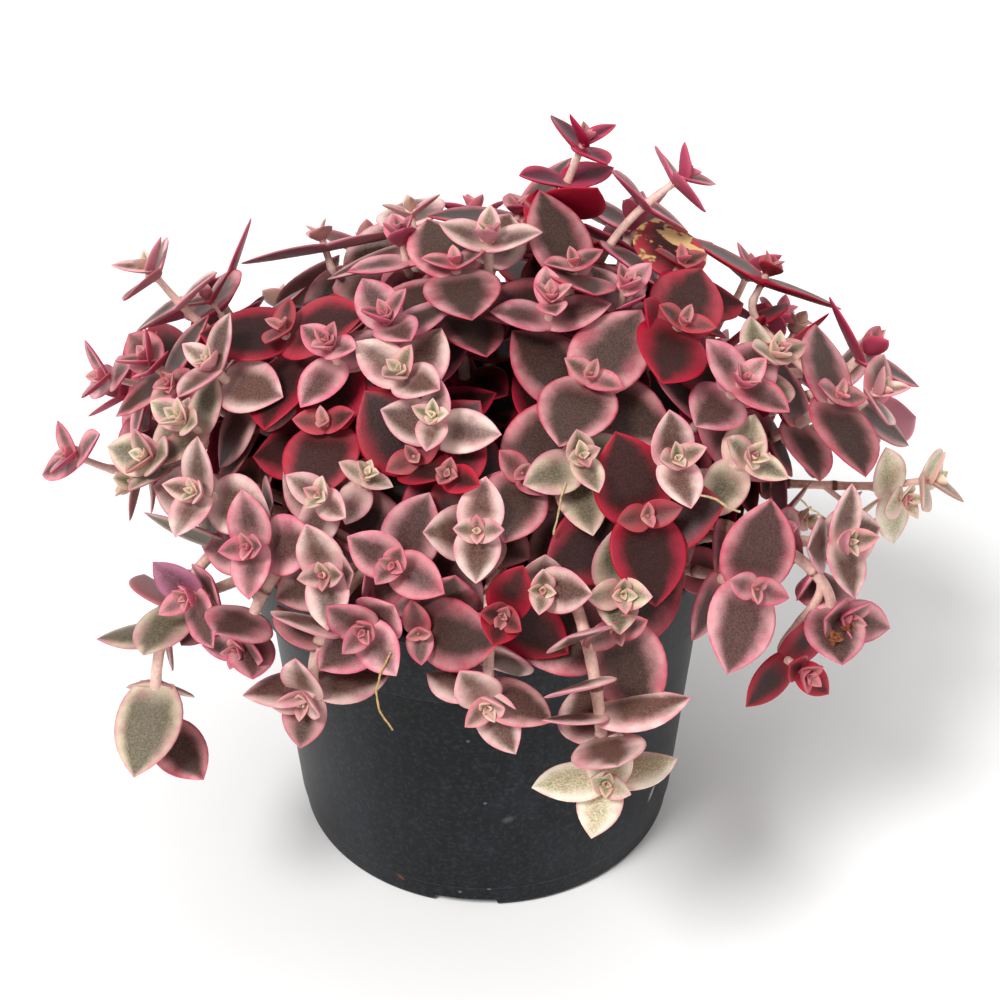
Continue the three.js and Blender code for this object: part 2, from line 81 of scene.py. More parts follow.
def linear(hexColour):  # sRGB hex to linear RGBA
    channels = [int(hexColour[i:i + 2], 16) / 255 for i in (1, 3, 5)]
    return tuple(c / 12.92 if c <= 0.04045 else ((c + 0.055) / 1.055) ** 2.4 for c in channels) + (1.0,)


def blendOf(one, other, share):
    share = min(max(share, 0.0), 1.0)
    return tuple(a + (b - a) * share for a, b in zip(one, other))


def setSockets(tree, sockets, values):  # a link or a plain value for each socket that is given one
    for key, value in values.items():
        if isinstance(value, bpy.types.Node):
            value = next(socket for socket in value.outputs if socket.enabled)
        if isinstance(value, bpy.types.NodeSocket):
            tree.links.new(value, sockets[key])
        elif value is not None:
            sockets[key].default_value = value


def addNode(tree, kind, *values, **settings):  # a node with its settings, and its sockets' values in order
    makers = ("ShaderNode", "GeometryNode", "FunctionNode", "Node")
    node = tree.nodes.new(next(maker + kind for maker in makers if hasattr(bpy.types, maker + kind)))
    for name, value in settings.items():
        setattr(node, name, value)
    setSockets(tree, [socket for socket in node.inputs if socket.enabled], dict(enumerate(values)))
    return node


def newSkin(name, noises):  # a material, a way to add its nodes, the place on its object, and noises there
    material = bpy.data.materials.new(name)
    material.use_nodes = True
    add = partial(addNode, material.node_tree)
    place = add("TexCoord").outputs["Object"]
    noise = {key: add("TexNoise", place, 1 / (size * mm), *form) for key, (size, *form) in noises.items()}
    return material, add, place, noise


def finishSkin(material, colour, gloss, height=None, bump=(0, 0)):  # bump is a strength, and a depth in mm
    tree = material.node_tree
    if height is not None:
        height = addNode(tree, "Bump", bump[0], bump[1] * mm, None, height)
    setSockets(tree, tree.nodes["Principled BSDF"].inputs, {"Base Color": colour, "Normal": height, **gloss})
    return material


def addObject(name, data):
    made = bpy.data.objects.new(name, data)
    bpy.context.scene.collection.objects.link(made)
    return made


def plainMesh(holder):  # what an object's modifiers or curve make
    seen = holder.evaluated_get(bpy.context.evaluated_depsgraph_get())
    return bpy.data.meshes.new_from_object(seen)


def meshOf(made, name):
    mesh = bpy.data.meshes.new(name)
    made.to_mesh(mesh)
    made.free()
    return mesh


def surfaceOf(things):  # all their corners, and all their faces to search, in mm
    corners, faces = [], []
    for thing in things:
        faces += [[index + len(corners) for index in face.vertices] for face in thing.data.polygons]
        corners += [vertex.co / mm for vertex in thing.data.vertices]
    return corners, bvhtree.BVHTree.FromPolygons(corners, faces)


# Camera, light and floor

camera = {
    "eye": (3.5, -405.0, 379.7), "target": (3.5, 0.0, 86.5),  # mm, fitted to the pot's rim and foot
    "lens": 77.4, "sensor": 36.0, "nearest": 0.01,
}

studio = {
    "paint": "#f7f7f6", "paintGloss": {"Roughness": 0.9}, "floorSize": 30.0,
    "sky": (0.02, 0.35, 0.9, 0.38),  # the heights between which it fades, and its strength at each
    "lamps": [  # name, direction it shines from, softness in degrees, strength
        ("softKey", (-0.62, -0.72, 1.2), 20.0, 2.75),
        ("softTop", (0.2, 0.25, 1.3), 55.0, 0.75),
        ("softFill", (0.9, -0.75, 0.5), 60.0, 0.35),
    ],
}


def aimAt(thing, place, target):
    thing.location = place
    thing.rotation_euler = (Vector(target) - Vector(place)).to_track_quat("-Z", "Y").to_euler()


def makeStudio():
    scene = bpy.context.scene
    lens = bpy.data.cameras.new("photoCamera")
    lens.lens = camera["lens"]
    lens.sensor_width = camera["sensor"]
    lens.clip_start = camera["nearest"]
    scene.camera = addObject("photoCamera", lens)
    aimAt(scene.camera, *([c * mm for c in camera[key]] for key in ("eye", "target")))
    for name, place, softness, strength in studio["lamps"]:
        lamp = bpy.data.lights.new(name, "SUN")
        lamp.angle = math.radians(softness)
        lamp.energy = strength
        aimAt(addObject(name, lamp), place, (0, 0, 0))

    scene.world = bpy.data.worlds.new("paleStudio")
    scene.world.use_nodes = True
    tree = scene.world.node_tree
    sky = addNode(tree, "TexCoord").outputs["Generated"]
    height = addNode(tree, "SeparateXYZ", sky).outputs["Z"]
    glow = addNode(tree, "MapRange", height, *studio["sky"])
    setSockets(tree, tree.nodes["Background"].inputs, {"Strength": glow, "Color": (1, 1, 1, 1)})
    scene.view_settings.view_transform = "Standard"

    half = studio["floorSize"] / 2
    corners = [(-half, -half, 0), (half, -half, 0), (half, half, 0), (-half, half, 0)]
    sheet = bpy.data.meshes.new("paleFloor")
    sheet.from_pydata(corners, [], [(0, 1, 2, 3)])
    paint = newSkin("matteWhiteSheet", {})[0]  # matt white sheet, made from one plain tint
    sheet.materials.append(finishSkin(paint, linear(studio["paint"]), studio["paintGloss"]))
    floor = addObject("paleFloor", sheet)
    floor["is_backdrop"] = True


makeStudio()
print("studio ready")


# The plan of the plant: the same places and rules as the solids, in mm

pot = {
    "height": 93.0, "rimRadius": 60.0, "rimFootRadius": 56.8, "rimBand": 20.0,
    "lip": (0.5, 2.2, 1.7),  # how far it stands out, and its foot and start below the rim
    "wallTopRadius": 52.2, "footRadius": 46.3, "wall": 1.2, "floor": 4.0,
    "footBevel": 1.0, "ringHeight": 6.3, "ringStep": 0.4, "sides": 144,
    "drains": 4, "drainAngle": -96.0, "drainWidth": 17.0, "drainHeight": 2.4, "drainInner": 30.0,
    "drainTaper": 0.86, "holeRadius": 4.0, "holeAt": 38.0, "holeSides": 32, "sharpFrom": 32.0,
}

plan = {
    "soilTop": 85.0, "rootDepth": 5.0,
    "domeCentre": np.array((5.0, 0.0, 85.0)), "domeReach": np.array((98.0, 72.0, 70.0)), "skyPull": 0.15,
    "oldStem": 1.35, "youngStem": 1.05,
    "axisSteps": 24, "plainNeck": 8.0, "overNeck": 5.0,
    "bow": (0.45, 0.33), "sideBow": (0.35, 0.3),
    "archRise": 27.0, "archArrive": 18.0, "archDrop": 14.0,
    "forkDepth": 15.0, "budRise": 1.0,
    "rootSpread": np.array((0.46, 0.62)), "rootReach": 45.0, "rootSpacing": 4.6,
    "rootSteps": 200, "rootStride": 0.35, "rootTurn": 2.4,
    "bladeRise": 0.62, "bladeFall": 0.8, "bladeMarks": (0.22, 0.36, 0.6),
    "spread": (0.16, 14.0, 14.0, 16.0),  # how far leaves vary in length, turn, lift and twist
    "backSeed": 3, "leafSeed": 400, "backWander": 6.0, "backSideRise": 13.0,
    "pictureUp": np.array((0.0, 0.587, 0.81)), "facesBack": 0.2,
    "cornerMatch": 0.03,
}

# Leaf pairs from the bud down: depth, length, width, thickness, lift, cup, bend
kinds = {
    "open": [
        (1, 7.5, 5.2, 1.5, 48, 0.32, 0.05),
        (2.6, 12, 9.6, 1.6, 22, 0.2, 0.02),
        (7, 16, 13, 1.7, 6, 0.12, -0.02),
        (16, 19, 15.5, 1.8, -4, 0.08, -0.05),
    ],
    "full": [
        (1, 7.5, 5.2, 1.5, 48, 0.32, 0.05),
        (3, 16, 13, 1.7, 18, 0.12, 0),
        (9, 20, 17, 1.9, 2, 0.07, -0.05),
        (18, 21, 18, 1.9, -4, 0.06, -0.06),
    ],
    "small": [
        (0.8, 5.5, 3.8, 1.3, 48, 0.32, 0.05),
        (2.2, 9, 6.6, 1.4, 24, 0.22, 0.02),
        (7, 13, 10, 1.6, 8, 0.12, -0.03),
    ],
    "broad": [
        (3.5, 20, 16.5, 1.9, 10, 0.08, -0.03),
        (9, 21, 17.5, 1.9, 0, 0.06, -0.06),
    ],
    "sprig": [
        (0.8, 9, 5, 1.3, 34, 0.3, 0.04),
        (2.6, 13, 8, 1.5, 12, 0.22, -0.04),
        (11, 14, 9, 1.5, 6, 0.2, -0.06),
        (23, 17, 13, 1.7, 0, 0.12, -0.05),
    ],
    "hanging": [
        (0.8, 14, 12, 1.5, 50, 0.15, -0.04),
        (12, 21, 15, 1.8, 38, 0.1, -0.06),
        (27, 15, 13, 1.7, 20, 0.1, -0.04),
    ],
    "sprout": [
        (0.7, 5.4, 4.0, 1.0, 36, 0.26, 0.05),
        (1.8, 9.0, 7.2, 1.2, 16, 0.16, 0.0),
        (5.0, 12.5, 10.4, 1.4, 2, 0.1, -0.04),
    ],
}


def shoot(kind, tone, tip, roll, face=None, over=False, sides=()):
    return {"kind": kind, "tone": tone, "tip": tip, "roll": roll, "face": face, "over": over, "sides": sides}


frontShoots = [
    shoot("open", "cream", (-60, -42, 119), -10),
    shoot("open", "green", (-72, -29, 119), 85, sides=[shoot("small", "green", (-64, -28, 128), 70)]),
    shoot("open", "cream", (-58, -20, 137), -20),
    shoot("sprig", "cream", (-74, 8, 144), 35, face=(-0.6, 0.15, 0.78)),
    shoot("sprig", "pink", (-86, 4, 118), 100, face=(-0.82, -0.32, 0.45)),
    shoot("sprig", "pink", (-93, -8, 105), 110, face=(-0.72, -0.3, 0.6)),
    shoot("open", "pink", (-48, -53, 113), 5),
    shoot("open", "cream", (-32, -61, 112), 10),
    shoot("open", "pink", (-62, -52, 99), 35),
    shoot("small", "pink", (-51, -61, 92), 80, over=True),
    shoot("open", "cream", (-37, -70, 86), -12, over=True),
    shoot("open", "pink", (-24, -68, 103), 40),
    shoot("open", "pink", (-18, -63, 116), 60, sides=[shoot("broad", "plum", (-13, -66, 101), 5)]),
    shoot("open", "cream", (-1, -61, 123), -3),
    shoot("open", "crimson", (4, -69, 108), -25),
    shoot("open", "cream", (1, -76, 90), 35, over=True),
    shoot("open", "ivory", (25, -84, 76), -15, face=(0.1, -0.8, 0.6), over=True),
    shoot("small", "crimson", (-7, -53, 131), 70, sides=[shoot("small", "cream", (-10, -44, 139), -10)]),
    shoot("small", "cream", (-33, -52, 125), 60),
    shoot("open", "cream", (-17, -35, 144), 60),
    shoot("open", "pink", (-20, -23, 150), 35, sides=[shoot("small", "pink", (-32, -27, 146), 60)]),
    shoot("open", "cream", (1, -3, 158), 80),
    shoot("sprig", "wine", (22, 20, 169), 0, face=(0.35, 0.1, 0.93),
          sides=[shoot("small", "crimson", (12, 8, 157), 0)]),
    shoot("sprig", "pink", (44, 17, 162), 60, face=(0.8, 0.25, 0.55)),
    shoot("small", "pink", (30, -13, 152), 120),
    shoot("broad", "plum", (22, -33, 142), 60),
    shoot("broad", "plum", (19, -6, 153), 110, sides=[shoot("small", "pink", (14, -20, 153), 0)]),
    shoot("broad", "plum", (-6, -7, 154), 100),
    shoot("broad", "crimson", (42, -18, 146), 60, face=(0.4, -0.3, 0.85)),
    shoot("broad", "crimson", (43, 4, 148), 90),
    shoot("open", "pink", (54, -30, 139), 40, sides=[shoot("small", "green", (62, -19, 139), 90)]),
    shoot("broad", "plum", (76, -20, 129), 80),
    shoot("open", "cream", (87, -8, 122), -35),
    shoot("sprig", "ivory", (101, -12, 101), 120, face=(0.9, -0.25, 0.35)),
    shoot("open", "cream", (76, -46, 109), 5),
    shoot("open", "pink", (77, -52, 93), 80, over=True,
          sides=[shoot("small", "crimson", (68, -59, 84), 60)]),
    shoot("broad", "pink", (56, -58, 106), 75),
    shoot("open", "cream", (39, -49, 132), 15, sides=[shoot("small", "green", (55, -44, 129), 60)]),
    shoot("small", "green", (20, -51, 134), 15, sides=[shoot("broad", "plum", (8, -47, 127), 50)]),
    shoot("broad", "crimson", (33, -56, 123), 100, sides=[shoot("small", "green", (28, -66, 111), 90)]),
    shoot("open", "cream", (12, -66, 112), 85),
    shoot("broad", "plum", (27, -68, 103), 110),
    shoot("broad", "crimson", (-14, -44, 129), 125),
    shoot("broad", "crimson", (-33, -34, 131), 95),
    shoot("broad", "crimson", (-43, -14, 142), 0),
    shoot("hanging", "green", (-70, -52, 62), 20, face=(0.3, -0.2, -0.93), over=True),
    shoot("open", "plum", (-74, -4, 128), 60),
]

backRows = [  # height angle, count, first and last direction, over the rim
    (62, 2, 50, 120, False),
    (34, 5, 8, 150, False),
    (6, 4, 22, 148, True),
]
backKinds = ["full", "broad", "full", "sprig", "full"]
backSideKinds = ["broad", "small", "broad"]
backTones = ["pink", "cream", "plum", "pink", "crimson", "green"]

# Ways a leaf and a stem give way to their neighbours: lift, turn, twist, size and across, in depth
leafGives = [
    (0, 0, 0, 1), (12, 0, 0, 1), (-12, 0, 0, 1), (0, 15, 0, 1), (0, -15, 0, 1),
    (0, 0, 20, 1), (0, 0, -20, 1), (24, 0, 0, 0.95), (12, 15, 12, 0.95), (12, -15, -12, 0.95),
    (-12, 15, 0, 0.9), (-12, -15, 0, 0.9), (36, 0, 0, 0.9), (24, 24, 0, 0.85), (24, -24, 0, 0.85),
    (-22, 0, 0, 0.85), (0, 0, 0, 0.75), (20, 0, 0, 0.7), (-15, 0, 0, 0.7), (45, 0, 0, 0.7),
]
stemGives = [
    (0, 0), (7, 0), (-7, 0), (0, 7), (0, -7), (9, 9), (-9, 9), (9, -9), (-9, -9), (14, 0), (-14, 0),
]


def seededRandom(seed):  # the same draws from 0 to 1 each run
    state, whole = seed, 0xFFFFFFFF

    def draw():
        nonlocal state
        state = (state + 0x6D2B79F5) & whole
        mixed = ((state ^ (state >> 15)) * (state | 1)) & whole
        mixed = ((mixed + (((mixed ^ (mixed >> 7)) * (mixed | 61)) & whole)) & whole) ^ mixed
        return (mixed ^ (mixed >> 14)) / (whole + 1)
    return draw


def stray(random, span):  # a draw either side of zero
    return span * (random() - 0.5)


def drawn(random, low, span):
    return low + span * random()


def unit(vector):
    return vector / np.linalg.norm(vector)


def cross(a, b):
    return np.array((a[1] * b[2] - a[2] * b[1], a[2] * b[0] - a[0] * b[2], a[0] * b[1] - a[1] * b[0]))


def turned(vector, axis, degrees):
    angle = math.radians(degrees)
    level = axis * np.dot(axis, vector) * (1 - math.cos(angle))
    return vector * math.cos(angle) + cross(axis, vector) * math.sin(angle) + level


def outward(place):  # square to the dome's skin
    return unit((place - plan["domeCentre"]) / plan["domeReach"] / plan["domeReach"])


def depthInside(place):  # 0 at the dome's skin, 1 at its centre
    return 1 - np.linalg.norm((place - plan["domeCentre"]) / plan["domeReach"])


def rootOf(tip, taken):
    start = tip[:2] * plan["rootSpread"]
    far = np.linalg.norm(start)
    if far > plan["rootReach"]:
        start = start * plan["rootReach"] / far
    for step in range(plan["rootSteps"]):
        turn = plan["rootTurn"] * step
        place = start + plan["rootStride"] * step * np.array([math.cos(turn), math.sin(turn)])
        isFree = all(np.linalg.norm(other - place) >= plan["rootSpacing"] for other in taken)
        if isFree and np.linalg.norm(place) <= plan["rootReach"]:
            taken.append(place)
            return place
    raise ValueError("no room for a root")


def stemPoints(one, give):  # from the root to the bud
    neck = one["tip"] - one["face"] * (plan["overNeck"] if one["over"] else plan["plainNeck"])
    start = one["start"]
    span = np.linalg.norm(neck - start)
    rising, coming = start.copy(), neck.copy()
    if one["parent"]:
        rising += one["startFace"] * plan["sideBow"][0] * span
        coming -= one["face"] * plan["sideBow"][1] * span
    elif one["over"]:
        rising[2] = pot["height"] + plan["archRise"]
        coming[2] = max(neck[2] + plan["archDrop"], pot["height"] + plan["archArrive"])
    else:
        rising[2] += plan["bow"][0] * span
        coming -= one["face"] * plan["bow"][1] * span
    rising[:2] += give
    points = [] if one["parent"] else [start - np.array([0, 0, plan["rootDepth"]])]
    for i in range(plan["axisSteps"] + 1):
        t = i / plan["axisSteps"]
        k = 1 - t
        points.append(k ** 3 * start + 3 * k * k * t * rising + 3 * k * t * t * coming + t ** 3 * neck)
    points.append(one["tip"] + one["face"] * plan["budRise"])
    return points


def atDepth(points, depth):  # place and direction on the stem below its bud
    left = depth + plan["budRise"]
    for i in range(len(points) - 1, 0, -1):
        run = np.linalg.norm(points[i] - points[i - 1])
        if left <= run or i == 1:
            face = unit(points[i] - points[i - 1])
            return points[i] - face * left, face
        left -= run
    return points[0], unit(points[1] - points[0])


def leafPair(one, row, level, spread, random):  # two leaves that face each other, each a little its own
    depth, length, width, thick, lift, cup, bend = row
    return [{
        "level": level, "depth": depth, "width": width, "thick": thick, "cup": cup, "bend": bend,
        "length": length * (1 + stray(random, spread[0])),
        "turn": one["roll"] + 90 * level + half + stray(random, spread[1]),
        "lift": lift + stray(random, spread[2]),
        "twist": spread[3] and stray(random, spread[3]),
    } for half in (0, 180)]


def idealLeaves(one):  # every leaf that a shoot would have with no neighbours
    random = seededRandom(plan["leafSeed"] + one["number"])
    rows = enumerate(kinds[one["kind"]])
    return [leaf for level, row in rows for leaf in leafPair(one, row, level, plan["spread"], random)]


def seated(one, leaf, give=(0, 0, 0, 1)):  # a leaf where it starts, with its ways out, across and up
    place, face = atDepth(one["points"], leaf["depth"])
    guide = plan["pictureUp"] * (1, -1 if one["face"][1] > plan["facesBack"] else 1, 1)
    side = turned(unit(cross(guide, face)), face, leaf["turn"] + give[1])
    lift = math.radians(leaf["lift"] + give[0])
    out = side * math.cos(lift) + face * math.sin(lift)
    up = turned(face * math.cos(lift) - side * math.sin(lift), out, leaf["twist"] + give[2])
    return dict(leaf, place=place, out=out, across=cross(up, out), up=up, size=give[3])


def backShoots():  # rows behind the crest
    random = seededRandom(plan["backSeed"])
    rows = []

    def onDome(way, height):
        turn, rise = math.radians(way), math.radians(height + stray(random, plan["backWander"]))
        out = np.array([math.cos(turn) * math.cos(rise), math.sin(turn) * math.cos(rise), math.sin(rise)])
        return out * plan["domeReach"] + plan["domeCentre"]

    for height, count, first, last, over in backRows:
        apart = (last - first) / (count - 1)
        for i in range(count):
            way, n = first + apart * i, len(rows)
            tip = onDome(way, height)
            sideTip = onDome(way + apart / 2, height + plan["backSideRise"])
            roll = 180 * random()
            kind, tone = backKinds[n % len(backKinds)], backTones[n % len(backTones)]
            sideKind, sideTone = backSideKinds[n % len(backSideKinds)], backTones[(n + 2) % len(backTones)]
            side = shoot(sideKind, sideTone, sideTip, 180 * random())
            rows.append(shoot(kind, tone, tip, roll, over=over, sides=[side]))
    return rows


def listShoots():  # every side shoot follows its parent
    listed = []

    def add(row, name, parent):
        one = dict(row, name=name, parent=parent, number=len(listed), tip=np.array(row["tip"], float))
        if row["face"]:
            one["face"] = unit(np.array(row["face"], float))
        else:
            one["face"] = unit(outward(one["tip"]) + (0, 0, plan["skyPull"]))
        isYoung = row["kind"] == "sprig" or parent is not None
        one["radius"] = plan["youngStem"] if isYoung else plan["oldStem"]
        listed.append(one)
        return one

    for i, row in enumerate(frontShoots + backShoots()):
        name = f"shoot_{i + 1:02d}"
        parent = add(row, name, None)
        for side in row["sides"]:
            add(side, name, parent)
    return listed


def halfWidth(leaf, along):
    rise, fall = plan["bladeRise"], plan["bladeFall"]
    widest = rise / (rise + fall)
    peak = widest ** rise * (1 - widest) ** fall
    return 0.5 * leaf["width"] * along ** rise * (1 - along) ** fall / peak


def landmarks(leaf):  # the solid blade's own corners, its tip first
    length, bend, up = leaf["length"] * leaf["size"], leaf["bend"], leaf["up"]
    found = [leaf["place"] + leaf["out"] * length + up * bend * length]
    for along in plan["bladeMarks"]:
        half = halfWidth(leaf, along) * leaf["size"]
        middle = bend * length * along * along
        spine = leaf["place"] + leaf["out"] * along * length
        for sign in (1, -1):
            found.append(spine + leaf["across"] * half * sign + up * (middle + leaf["cup"] * half))
        found.append(spine + up * (middle - leaf["thick"]))
    return found


class NodeSkin:  # a CAD node's corners and faces, in mm
    def __init__(self, name):
        corners, self.faces = surfaceOf([frame["nodes"][name]])
        self.corners = kdtree.KDTree(len(corners))
        for i, corner in enumerate(corners):
            self.corners.insert(corner, i)
        self.corners.balance()

    def has(self, point):
        return self.corners.find(point)[2] < plan["cornerMatch"]

    def gapTo(self, point):
        return self.faces.find_nearest(point)[3]


def solidLeaves(one, skin):  # the leaves that the solid holds, bent as they are there
    leaves = []
    for leaf in idealLeaves(one):
        best, most = None, 1
        for give in leafGives:
            tried = seated(one, leaf, give)
            marks = landmarks(tried)
            count = skin.has(marks[0]) and sum(map(skin.has, marks))
            if count > most:
                best, most = tried, count
        if best:
            leaves.append(best)
    return leaves


def seatShoots():
    shoots, taken, skins = listShoots(), [], {}
    for one in shoots:
        if one["parent"]:
            one["start"], one["startFace"] = atDepth(one["parent"]["points"], plan["forkDepth"])
        else:
            one["start"] = np.append(rootOf(one["tip"], taken), plan["soilTop"])
            skins[one["name"]] = NodeSkin(one["name"])
        skin = skins[one["name"]]
        ways = [stemPoints(one, np.array(give, float)) for give in stemGives]
        one["points"] = min(ways, key=lambda points: sum(skin.gapTo(point) for point in points))
        one["leaves"] = solidLeaves(one, skin)
    return shoots, skins


shoots, skins = seatShoots()
print("leaves found in the solids:", sum(len(one["leaves"]) for one in shoots))

# Leaf and stem finishes

leafLook = {
    "noises": {  # size in mm, detail and roughness
        "wobble": (4.0, 2.0), "grain": (0.24, 2.0, 0.7), "flecks": (0.42, 1.0, 0.6),
        "blotch": (6.0, 3.0), "patch": (8.0, 3.0, 0.6), "pores": (0.45, 3.0),
    },
    "levels": {  # each one's noise, the span it is taken from, and the span it becomes
        "speckle": ("grain", 0.3, 0.7), "fleck": ("flecks", 0.36, 0.66, 0.74, 1.34),
        "blush": ("blotch", 0.46, 0.66, 0.0, 0.62), "faint": ("wobble", 0.35, 0.62, 0.3, 1.0),
        "dry": ("patch", 0.51, 0.54), "scorch": ("patch", 0.51, 0.56),
    },
    "dotSize": 0.46,  # mm; the dots, grain and flecks are drawn as coarse as they need to show
    "stipple": (0.18, 0.4, 0.3, 0.0), "rim": (0.2, 2.9, 1.0, 0.0), "upper": (-0.12, 0.06),
    "wobble": 1.4, "grain": 0.38, "fade": 2.3, "rimWobble": 0.7,  # shares of the pale band's and rim's widths
    "shoulder": -0.08,  # how far along a blade its dark centre starts
    "dot": "#120809", "dryTint": "#dfba80", "dryEdge": "#6b2a1c",
    "gloss": {
        "Roughness": 0.45, "Specular IOR Level": 0.24,
        "Subsurface Weight": 0.06, "Subsurface Radius": (1.0, 0.3, 0.25), "Subsurface Scale": 0.001,
    },
    "bump": (0.3, 0.2),
}


def leafSkin():
    # Succulent leaf skin: a dark stippled centre fades to a pale band and a thin red rim.
    # Made from each leaf's own tints and the distance from its edge, broken up by fine noise.
    look = leafLook
    material, add, place, noise = newSkin("succulentLeafSkin", look["noises"])
    level = {key: add("MapRange", noise[source], *span) for key, (source, *span) in look["levels"].items()}
    along, fromEdge, inward, facing, paleBase = (
        add("Attribute", attribute_name=name).outputs["Fac"]
        for name in ("along", "fromEdge", "inward", "facing", "paleBase"))
    centreTint, paleTint, rimTint, underTint = (
        add("Attribute", attribute_name=part + "Tint") for part in ("centre", "pale", "rim", "under"))
    band = add("Attribute", attribute_name="leafBand").outputs["Vector"]
    bandWidth, rimWidth, dryness = add("SeparateXYZ", band).outputs

    inward = add("Math", inward, bandWidth, operation="DIVIDE")
    inward = add("Math", noise["wobble"], look["wobble"], inward, **timesPlus)
    inward = add("Math", level["speckle"], look["grain"], inward, **timesPlus)
    offset = (look["wobble"] + look["grain"]) / 2
    centre = add("MapRange", inward, offset, look["fade"] + offset, **smooth)
    shoulder = add("MapRange", along, look["shoulder"], paleBase, **smooth)
    centre = add("Math", centre, shoulder, **times)
    dots = add("TexVoronoi", place, 1 / (look["dotSize"] * mm)).outputs["Distance"]
    stipple = add("Math", add("MapRange", dots, *look["stipple"], **smooth), centre, **times)
    rim = add("Math", fromEdge, rimWidth, operation="DIVIDE")
    rim = add("Math", noise["grain"], look["rimWobble"], rim, **timesPlus)
    rim = add("Math", add("MapRange", rim, *look["rim"], **smooth), level["faint"], **times)
    dry = add("Math", level["dry"], dryness, **times)

    dark = add("Mix", 1.0, centreTint, level["fleck"], blend_type="MULTIPLY", **inColour)
    parched = add("Mix", level["scorch"], linear(look["dryEdge"]), linear(look["dryTint"]), **inColour)
    under = add("Mix", rim, underTint, rimTint, **inColour)
    colour = add("Mix", level["blush"], paleTint, rimTint, **inColour)
    for share, layer in [(centre, dark), (stipple, linear(look["dot"])), (rim, rimTint), (dry, parched)]:
        colour = add("Mix", share, colour, layer, **inColour)
    colour = add("Mix", add("MapRange", facing, *look["upper"]), under, colour, **inColour)
    return finishSkin(material, colour, look["gloss"], noise["pores"], look["bump"])


stemLook = {
    "noises": {"streak": (0.9, 3.0, 0.65)}, "shade": (0.35, 0.7, 0.82, 1.12),
    "scar": "#6e3a26", "scarWobble": 0.5, "scarEdge": (0.62, 1.0),
    "gloss": {
        "Roughness": 0.5,
        "Subsurface Weight": 0.08, "Subsurface Radius": (1.0, 0.4, 0.3), "Subsurface Scale": 0.001,
    },
    "bump": (0.3, 0.2),
}


def stemSkin():
    # Fleshy stem bark: a pink-tan skin with brown rings where old leaves stood.
    # Made from the stem's own tint and node marks, broken up by fine noise.
    look = stemLook
    material, add, _, noise = newSkin("fleshyStemBark", look["noises"])
    tint = add("Attribute", attribute_name="stemTint")
    mark = add("Attribute", attribute_name="nodeMark").outputs["Fac"]
    shade = add("MapRange", noise["streak"], *look["shade"])
    skin = add("Mix", 1.0, tint, shade, blend_type="MULTIPLY", **inColour)
    scar = add("Math", noise["streak"], look["scarWobble"], mark, **timesPlus)
    scar = add("MapRange", scar, *look["scarEdge"], **smooth)
    colour = add("Mix", scar, skin, linear(look["scar"]), **inColour)
    return finishSkin(material, colour, look["gloss"], noise["streak"], look["bump"])


# Leafy shoots: one node tree turns a shoot's plan into blades and stems

leafForm = {
    "outline": [(0, 0.5), (0.08, 0.7), (0.2, 0.9), (0.33, 0.99), (0.42, 1), (0.55, 0.95),
                (0.7, 0.78), (0.82, 0.545), (0.91, 0.3), (0.965, 0.115), (1, 0)],
    "plumpness": [(0, 1), (0.3, 0.95), (0.7, 0.72), (0.92, 0.42), (1, 0.12)],
    "fleshShares": (0.68, 0.28),  # of the solid's thickness, under and over the cup
    "cupPower": 1.4,
    "ease": 0.5,  # how far the steps along a blade gather at its ends
    "rootSink": 0.8,  # mm that a blade starts behind the stem's axis
    "weld": 0.01,  # mm between corners that are merged
    "inputs": {
        "Blade sides": 18, "Blade steps": 13, "Stem sides": 8,
        "Wave": 0.45 * mm, "Wave size": 7.0 * mm,
    },
}


def newTree(name, source, result, values):  # a node tree, a way to add its nodes, and what it is given
    tree = bpy.data.node_groups.new(name, "GeometryNodeTree")
    kindOf = {int: "Int", float: "Float", bpy.types.Material: "Material"}
    for key, kind in [(source, "Geometry"), *((key, kindOf[type(value)]) for key, value in values.items())]:
        tree.interface.new_socket(key, in_out="INPUT", socket_type="NodeSocket" + kind)
    tree.interface.new_socket(result, in_out="OUTPUT", socket_type="NodeSocketGeometry")
    add = partial(addNode, tree)
    return tree, add, add("GroupInput").outputs


def oneMesh(tree, first, second, skin):  # two parts as one smooth mesh
    whole = addNode(tree, "JoinGeometry", first)
    setSockets(tree, whole.inputs, {0: second})
    whole = addNode(tree, "SetShadeSmooth", addNode(tree, "RealizeInstances", whole))
    return addNode(tree, "SetMaterial", whole, None, skin)


